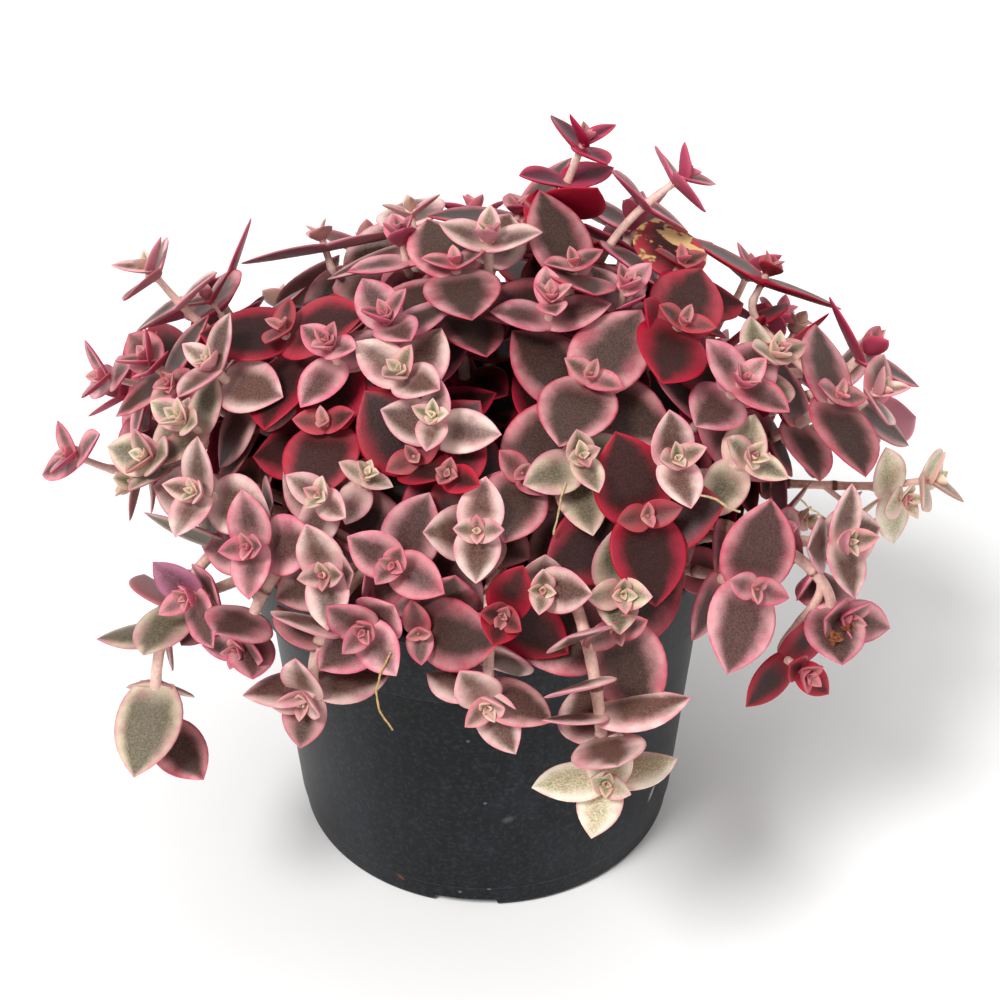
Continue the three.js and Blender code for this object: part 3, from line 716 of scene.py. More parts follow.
def shootTree(values):
    form = leafForm
    tree, add, given = newTree("leafyShoot", "Plan", "Shoot", values)

    # One blank blade: a tube whose points know how far along, aside and facing they are
    blank = add("MeshCylinder", given["Blade sides"], given["Blade steps"], None, 1.0, 1.0)
    spot = add("SeparateXYZ", add("InputPosition")).outputs
    level = add("Math", spot["Z"], 0.5, operation="ADD")
    level = add("Mix", form["ease"], level, add("MapRange", level, **smooth))
    for name, value in [("along", level), ("aside", spot["X"]), ("facing", spot["Y"])]:
        blank = add("StoreNamedAttribute", blank, None, name, value)
    isLeaf = add("InputNamedAttribute", "isLeaf", data_type="BOOLEAN")
    blades = add("RealizeInstances", add("InstanceOnPoints", given["Plan"], isLeaf, blank))

    along, side, facing = (add("InputNamedAttribute", name) for name in ("along", "aside", "facing"))
    place, out, across, up, size, bend = (
        add("InputNamedAttribute", "leaf" + name, data_type="FLOAT_VECTOR")
        for name in ("Place", "Out", "Across", "Up", "Size", "Bend"))
    length, width, thick = add("SeparateXYZ", size).outputs
    cupping, bending, skew = add("SeparateXYZ", bend).outputs
    shapes = []
    for points in (form["outline"], form["plumpness"]):
        shape = add("FloatCurve", None, along)
        curve = shape.mapping.curves[0]
        curve.points[0].location, curve.points[1].location = points[0], points[-1]
        for point in points[1:-1]:
            curve.points.new(*point)
        shape.mapping.update()
        shapes.append(shape)
    outline, plump = shapes

    half = add("Math", add("Math", width, outline, **times), 0.5, **times)
    droop = add("Math", length, add("Math", along, 2.0, operation="POWER"), **times)
    aside = add("Math", droop, skew, add("Math", side, half, **times), **timesPlus)
    wide = add("Math", side, operation="ABSOLUTE")
    inner = add("Math", 1.0, wide, operation="SUBTRACT")
    cup = add("Math", add("Math", wide, form["cupPower"], operation="POWER"), half, **times)
    rise = add("Math", droop, bending, add("Math", cup, cupping, **times), **timesPlus)
    isUpper = add("Math", facing, 0.0, operation="GREATER_THAN")
    share = add("MapRange", isUpper, None, None, *form["fleshShares"])
    flesh = add("Math", add("Math", thick, plump, **times), share, **times)
    rise = add("Math", flesh, facing, rise, **timesPlus)

    # A blade's edge waves slowly, more towards its sides
    where = add("VectorMath", add("VectorMath", out, droop, operation="SCALE"), place, operation="ADD")
    where = add("VectorMath", where, add("VectorMath", across, aside, operation="SCALE"), operation="ADD")
    pitch = add("Math", 1.0, given["Wave size"], operation="DIVIDE")
    ripple = add("Math", add("TexNoise", where, pitch, 0.0), 0.5, operation="SUBTRACT")
    ripple = add("Math", ripple, given["Wave"], **times)
    rise = add("Math", ripple, add("Math", wide, outline, **times), rise, **timesPlus)

    reach = add("MapRange", along, None, None, -form["rootSink"] * mm, length)
    for direction, distance in [(out, reach), (across, aside), (up, rise)]:
        step = add("VectorMath", direction, distance, operation="SCALE")
        place = add("VectorMath", place, step, operation="ADD")
    # From the edge inward, as if the blade were halfway between its width here and its greatest
    middle = add("Math", half, -0.5, add("Math", width, 0.25, half, **timesPlus), **timesPlus)
    for name, value in [("fromEdge", half), ("inward", middle)]:
        blades = add("StoreNamedAttribute", blades, None, name, add("Math", inner, value, **times))
    blades = add("MergeByDistance", add("SetPosition", blades, None, place), None, form["weld"] * mm)

    # Stems run through the plan's lines
    ring = add("CurvePrimitiveCircle", given["Stem sides"], 1.0)
    girth = add("InputNamedAttribute", "stemRadius")
    stems = add("CurveToMesh", add("MeshToCurve", given["Plan"]), ring, girth, True)
    stems = add("StoreNamedAttribute", stems, None, "isStem", True, data_type="BOOLEAN", domain="FACE")
    whole = oneMesh(tree, blades, stems, given["Leaf skin"])
    isStem = add("InputNamedAttribute", "isStem", data_type="BOOLEAN")
    add("GroupOutput", add("SetMaterial", whole, isStem, given["Stem skin"]))
    return tree


def grow(name, source, tree, values):  # the plain mesh that a node tree makes
    holder = addObject(name, source)
    modifier = holder.modifiers.new("grow", "NODES")
    modifier.node_group = tree
    for item in tree.interface.items_tree:
        if item.name in values:
            modifier[item.identifier] = values[item.name]
    made = plainMesh(holder)
    holder.modifiers.remove(modifier)
    holder.data = made
    made.name = name
    return holder


# Tints of centre, pale band, rim and underside
palettes = {
    "cream": ("#664a41", "#f0cfc4", "#d98494", "#b9808a"),
    "pink": ("#5a3e3a", "#e3a5a8", "#cc5874", "#a8465f"),
    "plum": ("#4b362f", "#d9989a", "#c03c58", "#982c4a"),
    "crimson": ("#361a18", "#a0132f", "#b20b28", "#8e0b26"),
    "wine": ("#571a2e", "#b0385a", "#c0244a", "#8c1236"),
    "green": ("#6d6450", "#dccdb0", "#d08290", "#a8827e"),
    "ruby": ("#8c0a2a", "#b40d34", "#c4143a", "#b00a30"),
    "violet": ("#7a4a5a", "#c27e98", "#b85c82", "#9a4a6c"),
    "ivory": ("#c2bb98", "#f9f2dc", "#dfa8a0", "#d8c8b0"),
    "heart": ("#7d8a5c", "#f2e8c8", "#e2b8a8", "#dcc4a8"),
    "pinkHeart": ("#7c5650", "#dfb3a4", "#cf6f80", "#c08084"),
    "shade": ("#2b1210", "#98203a", "#b0122c", "#82102a"),
}

growth = {
    "tintSeed": 77,
    "heartPairs": [  # depth, length, width, thickness, lift, cup, bend
        (0.3, 4.3, 3.1, 1.0, 50, 0.42, 0.02),
        (-0.25, 2.4, 1.6, 0.8, 66, 0.4, 0.02),
    ],
    "broadPairs": [
        (1.3, 7.6, 5.9, 1.1, 24, 0.26, 0.0),
        (0.2, 4.0, 2.9, 0.9, 48, 0.4, 0.02),
    ],
    "heartSpread": (0.2, 10.0, 10.0, 0),
    "heartLength": (2.5, 8.5),  # blade lengths between wholly heart-coloured and wholly grown
    "shadeDepth": (0.1, 0.38),  # how far inside the dome leaves turn from their tone to the shade's
    "darkShare": 0.12, "darker": 0.4, "pinkShare": 0.12, "greenShare": 0.8,
    "light": (0.84, 0.32), "bandVary": (0.8, 0.4), "rimVary": (0.8, 0.5),  # least, and how much more
    "liftedLeaves": {("shoot_40", "small", 3): 22.0},  # degrees, clear of the leaf beside it
    "oddLeaves": {
        ("shoot_29", 2): "ruby", ("shoot_09", 2): "violet", ("shoot_17", 6): "cream",
        ("shoot_17", 7): "cream", ("shoot_46", 0): "ivory", ("shoot_46", 1): "plum",
    },
    "dryLeaves": [("shoot_30", 0), ("shoot_30", 1)],
    "elderTones": {"ivory": "cream", "wine": "crimson"}, "elderLevel": 4,  # of the pairs further down a stem
    "greenHearts": ("cream", "green", "ivory"),
    "footLength": (4.5, 7.5, 17.0), "foot": (0.15, 0.62, 0.3),  # how far along a blade its pale foot reaches
    "bandLength": (6.0, 17.0), "band": (0.46, 0.27), "rimWidth": 0.42, "skew": 0.05,
    "stemStep": 1.3, "fewest": 8, "nodeSwell": 0.25, "nodeReach": 0.9, "bareNodes": 11.0, "bareFoot": 8.0,
    "taperDepths": (-1.0, 0.8, 12.0), "taper": (0.3, 0.72, 0.9, 1.0), "scarDepths": (4.0, 20.0),
    "stemTints": ("#a8625c", "#efc8ba", "#e0a999", "#6a4236"),  # at the bud, young, old, at the soil
    "budReach": 3.5, "stemFade": 80.0, "baseReach": 14.0,
    "lightFrom": (-0.1, -0.35, 0.9),
}

infill = {
    "seed": 9, "gap": 0.7, "cell": 1.1,  # mm kept clear of the solids and of other new leaves
    "around": [(x, y, z) for x in (-1, 0, 1) for y in (-1, 0, 1) for z in (-1, 0, 1)],
    "samples": np.array([(1, 0)] + [
        (along, share * wide) for along, wide in ((0.3, 0.97), (0.5, 0.97), (0.68, 0.78), (0.84, 0.42))
        for share in (-1, -0.5, 0, 0.5, 1)], float),  # shares of a blade's length and half width
    "firstDepth": 5.0, "step": 8.5, "stepVary": (0.85, 0.3),  # mm down the stem, least and how much more
    "soilRoom": 7.0, "clear": 4.0,  # mm of bare stem, and from the soil up to a leaf
    "deepest": 0.66,  # how far inside the dome
    "pair": (17.5, 14.5, 1.6, 4.0, 0.08, -0.04),  # length, width, thickness, lift, cup, bend
    "spread": (0.3, 30.0, 20.0, 20.0),
    "ways": [  # lift, turn, twist, size
        (0, 0, 0, 1), (14, 0, 0, 1), (-14, 0, 0, 1), (0, 25, 0, 1), (0, -25, 0, 1), (30, 0, 0, 0.9),
        (0, 45, 0, 0.9), (-25, 0, 0, 0.9), (20, 30, 15, 0.85), (20, -30, -15, 0.85), (0, 0, 0, 0.75),
        (25, 20, 0, 0.72), (-20, -20, 0, 0.72), (0, 40, 0, 0.7), (45, 0, 0, 0.7), (0, 0, 25, 0.6),
        (30, -40, 0, 0.55), (0, 20, 0, 0.5),
    ],
}

sprouting = {  # in mm and degrees; a pair of numbers is the least, and how much more
    "from": 7.0, "step": 8.0, "stepVary": (0.8, 0.4), "ways": 6, "turn": 137.5, "rise": 42.0,
    "guide": (0.3, 0.2, 0.9), "skyPull": 0.3, "reach": (7.0, 9.0), "sizes": (0.62, 0.45),
    "radius": 0.75, "clear": 6.0, "blocked": 1, "firstSeed": 1000, "seeds": 1000, "steps": 4,
}


def leafTints(one, leaf, random):  # centre, pale band, rim and underside of one leaf
    length = leaf["length"] * leaf["size"]
    grown = np.interp(length, growth["heartLength"], (0, 1))
    inside = depthInside(leaf["place"] + leaf["out"] * length / 2)
    deep = np.interp(inside, growth["shadeDepth"], (0, 1))
    deep += growth["darker"] * (random() < growth["darkShare"])
    light = drawn(random, *growth["light"])
    warm = random()
    tone = leaf.get("tone") or one["tone"]
    if leaf["level"] >= growth["elderLevel"]:
        tone = growth["elderTones"].get(tone, tone)
    core = "heart" if tone in growth["greenHearts"] and random() < growth["greenShare"] else "pinkHeart"
    tints = []
    for part in zip(*(palettes[key] for key in (core, tone, "shade", "pink"))):
        heart, own, shade, pink = map(linear, part)
        if tone == one["tone"]:
            own = blendOf(blendOf(own, pink, growth["pinkShare"] * warm), shade, deep)
        tint = blendOf(heart, own, grown)
        tints.append(tuple(min(c * light, 1.0) for c in tint[:3]) + (1.0,))
    return tints


def bandOf(leaf, random):  # width of a leaf's pale band, which is a smaller share on an old leaf
    share = np.interp(leaf["length"] * leaf["size"], growth["bandLength"], growth["band"])
    return leaf["width"] * leaf["size"] / 2 * share * drawn(random, *growth["bandVary"])


def stemLine(one):  # places along a stem, with each one's radius, node mark and tint
    points = np.array(one["points"])
    runs = np.append(0, np.cumsum(np.linalg.norm(np.diff(points, axis=0), axis=1)))
    reach = np.linspace(0, runs[-1], max(int(runs[-1] / growth["stemStep"]), growth["fewest"]))
    places = np.stack([np.interp(reach, runs, points[:, k]) for k in range(3)], axis=1)
    below = runs[-1] - plan["budRise"] - reach
    nodes = [row[0] for row in kinds[one["kind"]]]
    while nodes[-1] + growth["bareNodes"] < runs[-1] - growth["bareFoot"]:
        nodes.append(nodes[-1] + growth["bareNodes"])
    mark = np.max([np.exp(-((below - depth) / growth["nodeReach"]) ** 2) for depth in nodes], axis=0)
    taper = np.interp(below, (*growth["taperDepths"], runs[-1]), growth["taper"])
    bud, young, old, base = map(linear, growth["stemTints"])
    tints = []
    for depth, place in zip(below, places):
        tint = blendOf(bud, blendOf(young, old, depth / growth["stemFade"]), depth / growth["budReach"])
        isInside = np.linalg.norm(place[:2]) < pot["rimFootRadius"]
        near = (plan["soilTop"] + growth["baseReach"] - place[2]) / growth["baseReach"]
        tints.append(blendOf(tint, base, near * isInside))
    scar = mark * np.interp(below, growth["scarDepths"], (0, 1))
    return places, one["radius"] * taper * (1 + growth["nodeSwell"] * mark), scar, tints


def leafList(one, random):  # the solid's leaves and the tiny pairs of the heart
    leaves = list(one["leaves"])
    for n, row in enumerate(growth["broadPairs" if one["kind"] == "broad" else "heartPairs"]):
        leaves += [seated(one, leaf) for leaf in leafPair(one, row, -1 - n, growth["heartSpread"], random)]
    return leaves


def leafSamples(leaf):  # places on a blade past its root
    length, half = leaf["length"] * leaf["size"], leaf["width"] * leaf["size"] / 2
    along, aside = infill["samples"][:, :1], infill["samples"][:, 1:]
    rise = leaf["bend"] * length * along ** 2 + leaf["cup"] * half * np.abs(aside)
    return leaf["place"] + leaf["out"] * along * length + leaf["across"] * aside * half + leaf["up"] * rise


class Crowd:  # everything that stands so far, which new leaves keep clear of
    def __init__(self):
        self.solids = surfaceOf(frame["nodes"].values())[1]
        self.cells = set()

    def cellsOf(self, places):
        return np.floor(places / infill["cell"]).astype(int)

    def isClear(self, places):
        if any(tuple(cell) in self.cells for cell in self.cellsOf(places)):
            return False
        return all(self.solids.find_nearest(place, infill["gap"])[0] is None for place in places)

    def add(self, places):
        for step in infill["around"]:
            self.cells.update(map(tuple, self.cellsOf(places) + step))


def isRoomy(place, clear):  # not too deep in the dome or too near the soil
    return depthInside(place) <= infill["deepest"] and place[2] >= plan["soilTop"] + clear


def freeRun(one, room):  # mm of a stem from its bud to where it leaves the soil
    return np.linalg.norm(np.diff(np.array(one["points"]), axis=0), axis=1).sum() - plan["rootDepth"] - room


def addPairs(one, crowd, random):  # older pairs down the stem, wherever there is room
    level = len(kinds[one["kind"]])
    depth = kinds[one["kind"]][-1][0] + infill["firstDepth"]
    run = freeRun(one, 0 if one["parent"] else infill["soilRoom"])
    while depth < run:
        for leaf in leafPair(one, (depth, *infill["pair"]), level, infill["spread"], random):
            for give in infill["ways"]:
                grown = seated(one, leaf, give)
                samples = leafSamples(grown)
                if isRoomy(samples[0], infill["clear"]) and crowd.isClear(samples):
                    crowd.add(samples)
                    one["leaves"].append(grown)
                    break
        depth += infill["step"] * drawn(random, *infill["stepVary"])
        level += 1


def addSprouts(one, crowd, random):  # small young side shoots from the axils
    form, sprouts = sprouting, []
    depth, run, rise = form["from"], freeRun(one, infill["soilRoom"]), math.radians(form["rise"])
    while depth < run:
        place, face = atDepth(one["points"], depth)
        start = 360 * random()
        for way in range(form["ways"]):
            side = turned(unit(cross(face, form["guide"])), face, start + form["turn"] * way)
            aim = unit(side * math.cos(rise) + face * math.sin(rise) + (0, 0, form["skyPull"]))
            reach = drawn(random, *form["reach"])
            points = [place + aim * reach * i / form["steps"] for i in range(form["steps"] + 1)]
            sprout = dict(
                one, kind="sprout", face=aim, roll=180 * random(), radius=form["radius"],
                number=form["firstSeed"] + len(sprouts) + int(form["seeds"] * random()),
                points=[*points, points[-1] + aim * plan["budRise"]])
            if depthInside(points[-1]) < 0 or not isRoomy(points[-1], form["clear"]):
                continue
            size = drawn(random, *form["sizes"])
            leaves = [dict(seated(sprout, leaf), size=size) for leaf in idealLeaves(sprout)]
            clear = [leaf for leaf in leaves if crowd.isClear(leafSamples(leaf))]
            if len(leaves) - len(clear) <= form["blocked"]:
                for leaf in clear:
                    crowd.add(leafSamples(leaf))
                sprouts.append(dict(sprout, leaves=clear))
                break
        depth += form["step"] * drawn(random, *form["stepVary"])
    return sprouts


def fillDome():
    random = seededRandom(infill["seed"])
    crowd = Crowd()
    for one in shoots:
        addPairs(one, crowd, random)
    sprouts = [sprout for one in shoots for sprout in addSprouts(one, crowd, random)]
    total = sum(len(one["leaves"]) for one in shoots + sprouts)
    print("sprouts added:", len(sprouts), "leaves in all:", total)
    return sprouts


def facingLight(leaf):  # a leaf whose upper face would look inward turns over to the light
    if np.dot(leaf["up"], outward(leaf["place"]) + growth["lightFrom"]) >= 0:
        return leaf
    return dict(leaf, **{key: -leaf[key] for key in ("up", "across", "cup", "bend")})


def planMesh(name, members, random):  # a point for each leaf and a line for each stem
    blank = {
        "isLeaf": False,
        **dict.fromkeys(("leafPlace", "leafOut", "leafAcross", "leafUp", "leafSize", "leafBend"), (0, 0, 0)),
        "leafBand": (1, 1, 0),
        **dict.fromkeys(("centreTint", "paleTint", "rimTint", "underTint"), (0, 0, 0, 1)),
        **dict.fromkeys(("paleBase", "stemRadius", "nodeMark"), 0.0),
        "stemTint": (0, 0, 0, 1),
    }
    kindOf = {1: ("FLOAT", "value"), 3: ("FLOAT_VECTOR", "vector"), 4: ("FLOAT_COLOR", "color")}
    places, lines, rows = [], [], []
    for one in members:
        for leaf in map(facingLight, leafList(one, random)):
            centre, pale, rim, under = leafTints(one, leaf, random)
            size = leaf["size"]
            length, width, thick = leaf["length"] * size, leaf["width"] * size, leaf["thick"] * size ** 0.5
            places.append(leaf["place"] * mm)
            rows.append(dict(
                blank, isLeaf=True, leafPlace=places[-1], leafOut=leaf["out"], leafAcross=leaf["across"],
                leafUp=leaf["up"], leafSize=(length * mm, width * mm, thick * mm),
                leafBend=(leaf["cup"], leaf["bend"], stray(random, growth["skew"])),
                leafBand=(bandOf(leaf, random) * mm,
                          growth["rimWidth"] * drawn(random, *growth["rimVary"]) * mm, leaf.get("dry", 0)),
                paleBase=np.interp(length, growth["footLength"], growth["foot"]),
                centreTint=centre, paleTint=pale, rimTint=rim, underTint=under,
            ))
        for i, (place, radius, scar, tint) in enumerate(zip(*stemLine(one))):
            if i:
                lines.append((len(places) - 1, len(places)))
            places.append(place * mm)
            rows.append(dict(blank, stemRadius=radius * mm, nodeMark=scar, stemTint=tint))
    mesh = bpy.data.meshes.new(name)
    mesh.from_pydata(places, lines, [])
    for key, value in blank.items():
        kind, field = ("BOOLEAN", "value") if key == "isLeaf" else kindOf[np.size(value)]
        values = np.ravel([row[key] for row in rows]).tolist()
        mesh.attributes.new(key, kind, "POINT").data.foreach_set(field, values)
    return mesh


def makeShoots():
    values = dict(leafForm["inputs"], **{"Leaf skin": leafSkin(), "Stem skin": stemSkin()})
    tree = shootTree(values)
    random = seededRandom(growth["tintSeed"])
    for one in shoots:
        for i, leaf in enumerate(one["leaves"]):
            leaf["dry"] = float((one["name"], i) in growth["dryLeaves"])
            leaf["tone"] = growth["oddLeaves"].get((one["name"], i), one["tone"])
            lift = growth["liftedLeaves"].get((one["name"], one["kind"], i), 0)
            for way in ("out", "up"):
                leaf[way] = turned(leaf[way], leaf["across"], -lift)
    everyShoot = shoots + fillDome()
    for name in skins:
        members = [one for one in everyShoot if one["name"] == name]
        piece = grow("leafy" + name.capitalize(), planMesh(name, members, random), tree, values)
        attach(piece, "root")
        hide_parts(name)


makeShoots()
print("shoots grown")


# Pot

potLook = {
    "noises": {"cloud": (22.0, 3.0), "haze": (1.1, 4.0, 0.7)},  # size in mm, detail and roughness
    "streak": (4.0, 0.6), "streakSize": 3.2, "streakRatio": 0.12,
    "dark": "#080b0f", "film": "#13181e", "dust": "#8d9192",
    "filmEdge": (0.14, 0.42), "haze": (0.48, 0.8, 0.0, 0.1), "worn": (0.2, 1.0, 1.1, 0.0),
    "speckSize": 4.6, "speckShare": 0.2, "speck": (0.04, 0.12, 0.5, 0.0),
    "marks": [  # centre in mm, tilt and way round in degrees, reach in mm, tint
        ((42.6, -22.4, 23.5), (-32, 0, -28), (2.0, 1.1, 4.2), "#c9c2b8"),
        ((40.2, -25.8, 18.0), (-30, 0, -33), (2.0, 1.0, 3.6), "#b8b2aa"),
        ((5.3, -48.5, 31.0), (-60, 0, -84), (2.0, 1.4, 2.2), "#5a5558"),
        ((-20.4, -42.0, 5.5), (60, 0, -116), (2.0, 0.8, 1.8), "#7a4a30"),
        ((0.9, -46.8, 6.4), (0, 0, -89), (2.0, 0.8, 0.7), "#d8b49a"),
    ],
    "gloss": {"Roughness": 0.42, "Specular IOR Level": 0.13}, "bump": (0.1, 0.3),
}


def polyPot():
    # Blow-moulded black polyethylene: matt, dusty, with faint upright streaks and pale scuffs.
    # Made from noise stretched along the wall, a few rubbed marks, and dust that is drawn as
    # coarse as it needs to show.
    look = potLook
    material, add, place, noise = newSkin("dustyBlackPolyethylene", look["noises"])
    stretched = add("VectorMath", place, (1, 1, look["streakRatio"]), **times)
    streak = add("TexNoise", stretched, 1 / (look["streakSize"] * mm), *look["streak"])
    film = add("MapRange", add("Math", streak, noise["cloud"], **times), *look["filmEdge"], **smooth)
    specks = add("TexVoronoi", place, 1 / (look["speckSize"] * mm)).outputs
    keep = add("Math", specks["Color"], look["speckShare"], operation="LESS_THAN")
    speck = add("Math", keep, add("MapRange", specks["Distance"], *look["speck"]), **times)
    haze = add("MapRange", noise["haze"], *look["haze"])
    layers = [(film, look["film"]), (speck, look["dust"]), (haze, look["dust"])]
    for centre, turn, reach, tint in look["marks"]:
        centre, reach = ([c * mm for c in size] for size in (centre, reach))
        shifted = add("Mapping", place, centre, [math.radians(a) for a in turn], reach, vector_type="TEXTURE")
        worn = add("MapRange", add("VectorMath", shifted, operation="LENGTH"), *look["worn"], **smooth)
        layers.append((add("Math", worn, streak, **times), tint))
    colour = linear(look["dark"])
    for share, tint in layers:
        colour = add("Mix", share, colour, linear(tint), **inColour)
    return finishSkin(material, colour, look["gloss"], streak, look["bump"])


def turnedMesh(name, profile, sides):  # a closed profile of radius and height turned round the axis
    made = bmesh.new()
    turns = [2 * math.pi * i / sides for i in range(sides)]
    rings = []
    for radius, height in profile:
        rings.append([
            made.verts.new((radius * math.cos(turn) * mm, radius * math.sin(turn) * mm, height * mm))
            for turn in (turns if radius else turns[:1])])
    for low, high in zip(rings, rings[1:]):
        for i in range(sides):
            corners = [low[i % len(low)], low[(i + 1) % sides % len(low)]]
            corners += [high[(i + 1) % sides % len(high)], high[i % len(high)]]
            made.faces.new(list(dict.fromkeys(corners)))
    bmesh.ops.recalc_face_normals(made, faces=made.faces)
    return meshOf(made, name)


def rounded(corners, steps=4):  # corners of radius, height and rounding, as a smooth profile
    profile = []
    for i, (radius, height, bevel) in enumerate(corners):
        here = np.array((radius, height))
        if not bevel:
            profile.append(tuple(here))
            continue
        back = np.array(corners[i - 1][:2]) - here
        ahead = np.array(corners[(i + 1) % len(corners)][:2]) - here
        start, end = here + unit(back) * bevel, here + unit(ahead) * bevel
        for k in range(steps + 1):
            t = k / steps
            profile.append(tuple((1 - t) ** 2 * start + 2 * t * (1 - t) * here + t * t * end))
    return profile


shoulder = pot["height"] - pot["rimBand"]
ledge = shoulder + pot["wall"]


def potProfile():
    foot, top, wall, floor = pot["footRadius"], pot["wallTopRadius"], pot["wall"], pot["floor"]
    rimFoot, rim, height = pot["rimFootRadius"], pot["rimRadius"], pot["height"]
    bevel, step, lineHeight = pot["footBevel"], pot["ringStep"], pot["ringHeight"]
    line = foot + (top - foot) * lineHeight / shoulder
    lip, lipFoot, lipStart = pot["lip"]
    return rounded([  # radius, height and rounding
        (0, 0, 0), (foot - bevel, 0, 0.6), (foot - step, bevel, 0.5),
        (line - step, lineHeight, 0.15), (line, lineHeight + step, 0.2),
        (top, shoulder, 0.5), (rimFoot, shoulder, 0.5),
        (rim - lip, height - lipFoot, 0.2), (rim, height - lipStart, 0.2),
        (rim, height, 0.55), (rim - wall, height, 0.55),
        (rimFoot - wall, ledge, 0.5), (top - wall, ledge, 0.5),
        (foot - wall, floor, 1.5), (0, floor, 0),
    ])


def drainCutters():  # a channel and a hole for each drain
    radius, reach = pot["holeRadius"] * mm, pot["rimRadius"] - pot["drainInner"]
    for i in range(pot["drains"]):
        angle = math.radians(pot["drainAngle"] + 360 / pot["drains"] * i)
        out = np.array((math.cos(angle), math.sin(angle), 0))
        aside = np.array((-out[1], out[0], 0))
        channel, hole = bmesh.new(), bmesh.new()
        bmesh.ops.create_cube(channel, size=1)
        for vertex in channel.verts:
            far = pot["drainInner"] + (vertex.co.x + 0.5) * reach
            wide = vertex.co.y * pot["drainWidth"] * (1 if vertex.co.z < 0 else pot["drainTaper"])
            rise = (0, 0, vertex.co.z * 2 * pot["drainHeight"])
            vertex.co = Vector((out * far + aside * wide + rise) * mm)
        bmesh.ops.create_cone(hole, cap_ends=True, segments=pot["holeSides"], radius1=radius,
                              radius2=radius, depth=4 * pot["floor"] * mm)
        for vertex in hole.verts:
            vertex.co += Vector(out) * pot["holeAt"] * mm
        yield from (channel, hole)


def makePot():
    piece = addObject("nurseryPot", turnedMesh("nurseryPot", potProfile(), pot["sides"]))
    for cutter in drainCutters():
        tool = addObject("drainCutter", meshOf(cutter, "drainCutter"))
        modifier = piece.modifiers.new("drain", "BOOLEAN")
        modifier.operation = "DIFFERENCE"
        modifier.solver = "EXACT"
        modifier.object = tool
        cut = plainMesh(piece)
        piece.modifiers.remove(modifier)
        piece.data = cut
        bpy.data.objects.remove(tool)
    piece.data.name = "nurseryPot"
    piece.data.materials.clear()
    piece.data.materials.append(polyPot())
    piece.data.shade_smooth()
    piece.data.set_sharp_from_angle(angle=math.radians(pot["sharpFrom"]))
    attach(piece, "root")
    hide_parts("pot")


makePot()
print("pot turned")


# Soil

soilLook = {
    "noises": {"grain": (1.6, 5.0, 0.7)}, "brownShare": (0.4, 0.75), "dark": "#120d0a", "brown": "#3a281c",
    "gloss": {"Roughness": 0.95}, "bump": (0.6, 0.6),
    "gap": 1.5, "seat": 0.3, "edge": 1.5, "topBand": 0.5, "brimBand": 1.0,  # mm
    "rings": 30, "sides": 110,
    "swellDetail": 4.0, "swellLevel": 0.65,  # the level of the noise that stays at the plain height
    "knobSize": 1 / 0.9, "knobDetail": 2.0, "knobLevel": 0.5,
    "crumbShape": (1.0, 0.8, 0.62), "spin": 6.283,  # radians
    "inputs": {
        "Density": 52000.0, "Smallest": 0.35 * mm, "Largest": 1.5 * mm, "Heave": 4.4 * mm,
        "Heave size": 9.0 * mm, "Roughness": 0.35 * mm, "Seed": 5,
    },
}


def pottingMix():
    # Damp potting mix: near-black peat with brown fibres. Made from one noise of many scales.
    look = soilLook
    material, add, _, noise = newSkin("dampPottingMix", look["noises"])
    share = add("MapRange", noise["grain"], *look["brownShare"])
    colour = add("Mix", share, linear(look["dark"]), linear(look["brown"]), **inColour)
    return finishSkin(material, colour, look["gloss"], noise["grain"], look["bump"])


def crumbTree(values):
    look = soilLook
    tree, add, given = newTree("soilCrumbs", "Ground", "Soil", values)
    place, normal, isTop = add("InputPosition"), add("InputNormal"), add("InputNamedAttribute", "isTop")

    pitch = add("Math", 1.0, given["Heave size"], operation="DIVIDE")
    swell = add("TexNoise", place, pitch, look["swellDetail"])
    swell = add("Math", swell, look["swellLevel"], operation="SUBTRACT")
    swell = add("Math", add("Math", swell, given["Heave"], **times), isTop, **times)
    ground = add("SetPosition", given["Ground"], None, None, add("CombineXYZ", None, None, swell))

    spots = add("DistributePointsOnFaces", ground, isTop, given["Density"], given["Seed"])
    ball = add("MeshIcoSphere", 1.0, 2)
    size = add("RandomValue", given["Smallest"], given["Largest"], None, given["Seed"])
    turn = add("RandomValue", (0, 0, 0), (look["spin"],) * 3, None, given["Seed"], data_type="FLOAT_VECTOR")
    squash = add("VectorMath", look["crumbShape"], size, operation="SCALE")
    crumbs = add("RealizeInstances", add("InstanceOnPoints", spots, None, ball, None, None, turn, squash))
    knobs = add("TexNoise", place, 1 / (look["knobSize"] * mm), look["knobDetail"])
    knobs = add("Math", knobs, look["knobLevel"], operation="SUBTRACT")
    push = add("VectorMath", normal, add("Math", knobs, given["Roughness"], **times), operation="SCALE")
    crumbs = add("SetPosition", crumbs, None, None, push)
    add("GroupOutput", oneMesh(tree, ground, crumbs, given["Skin"]))
    return tree


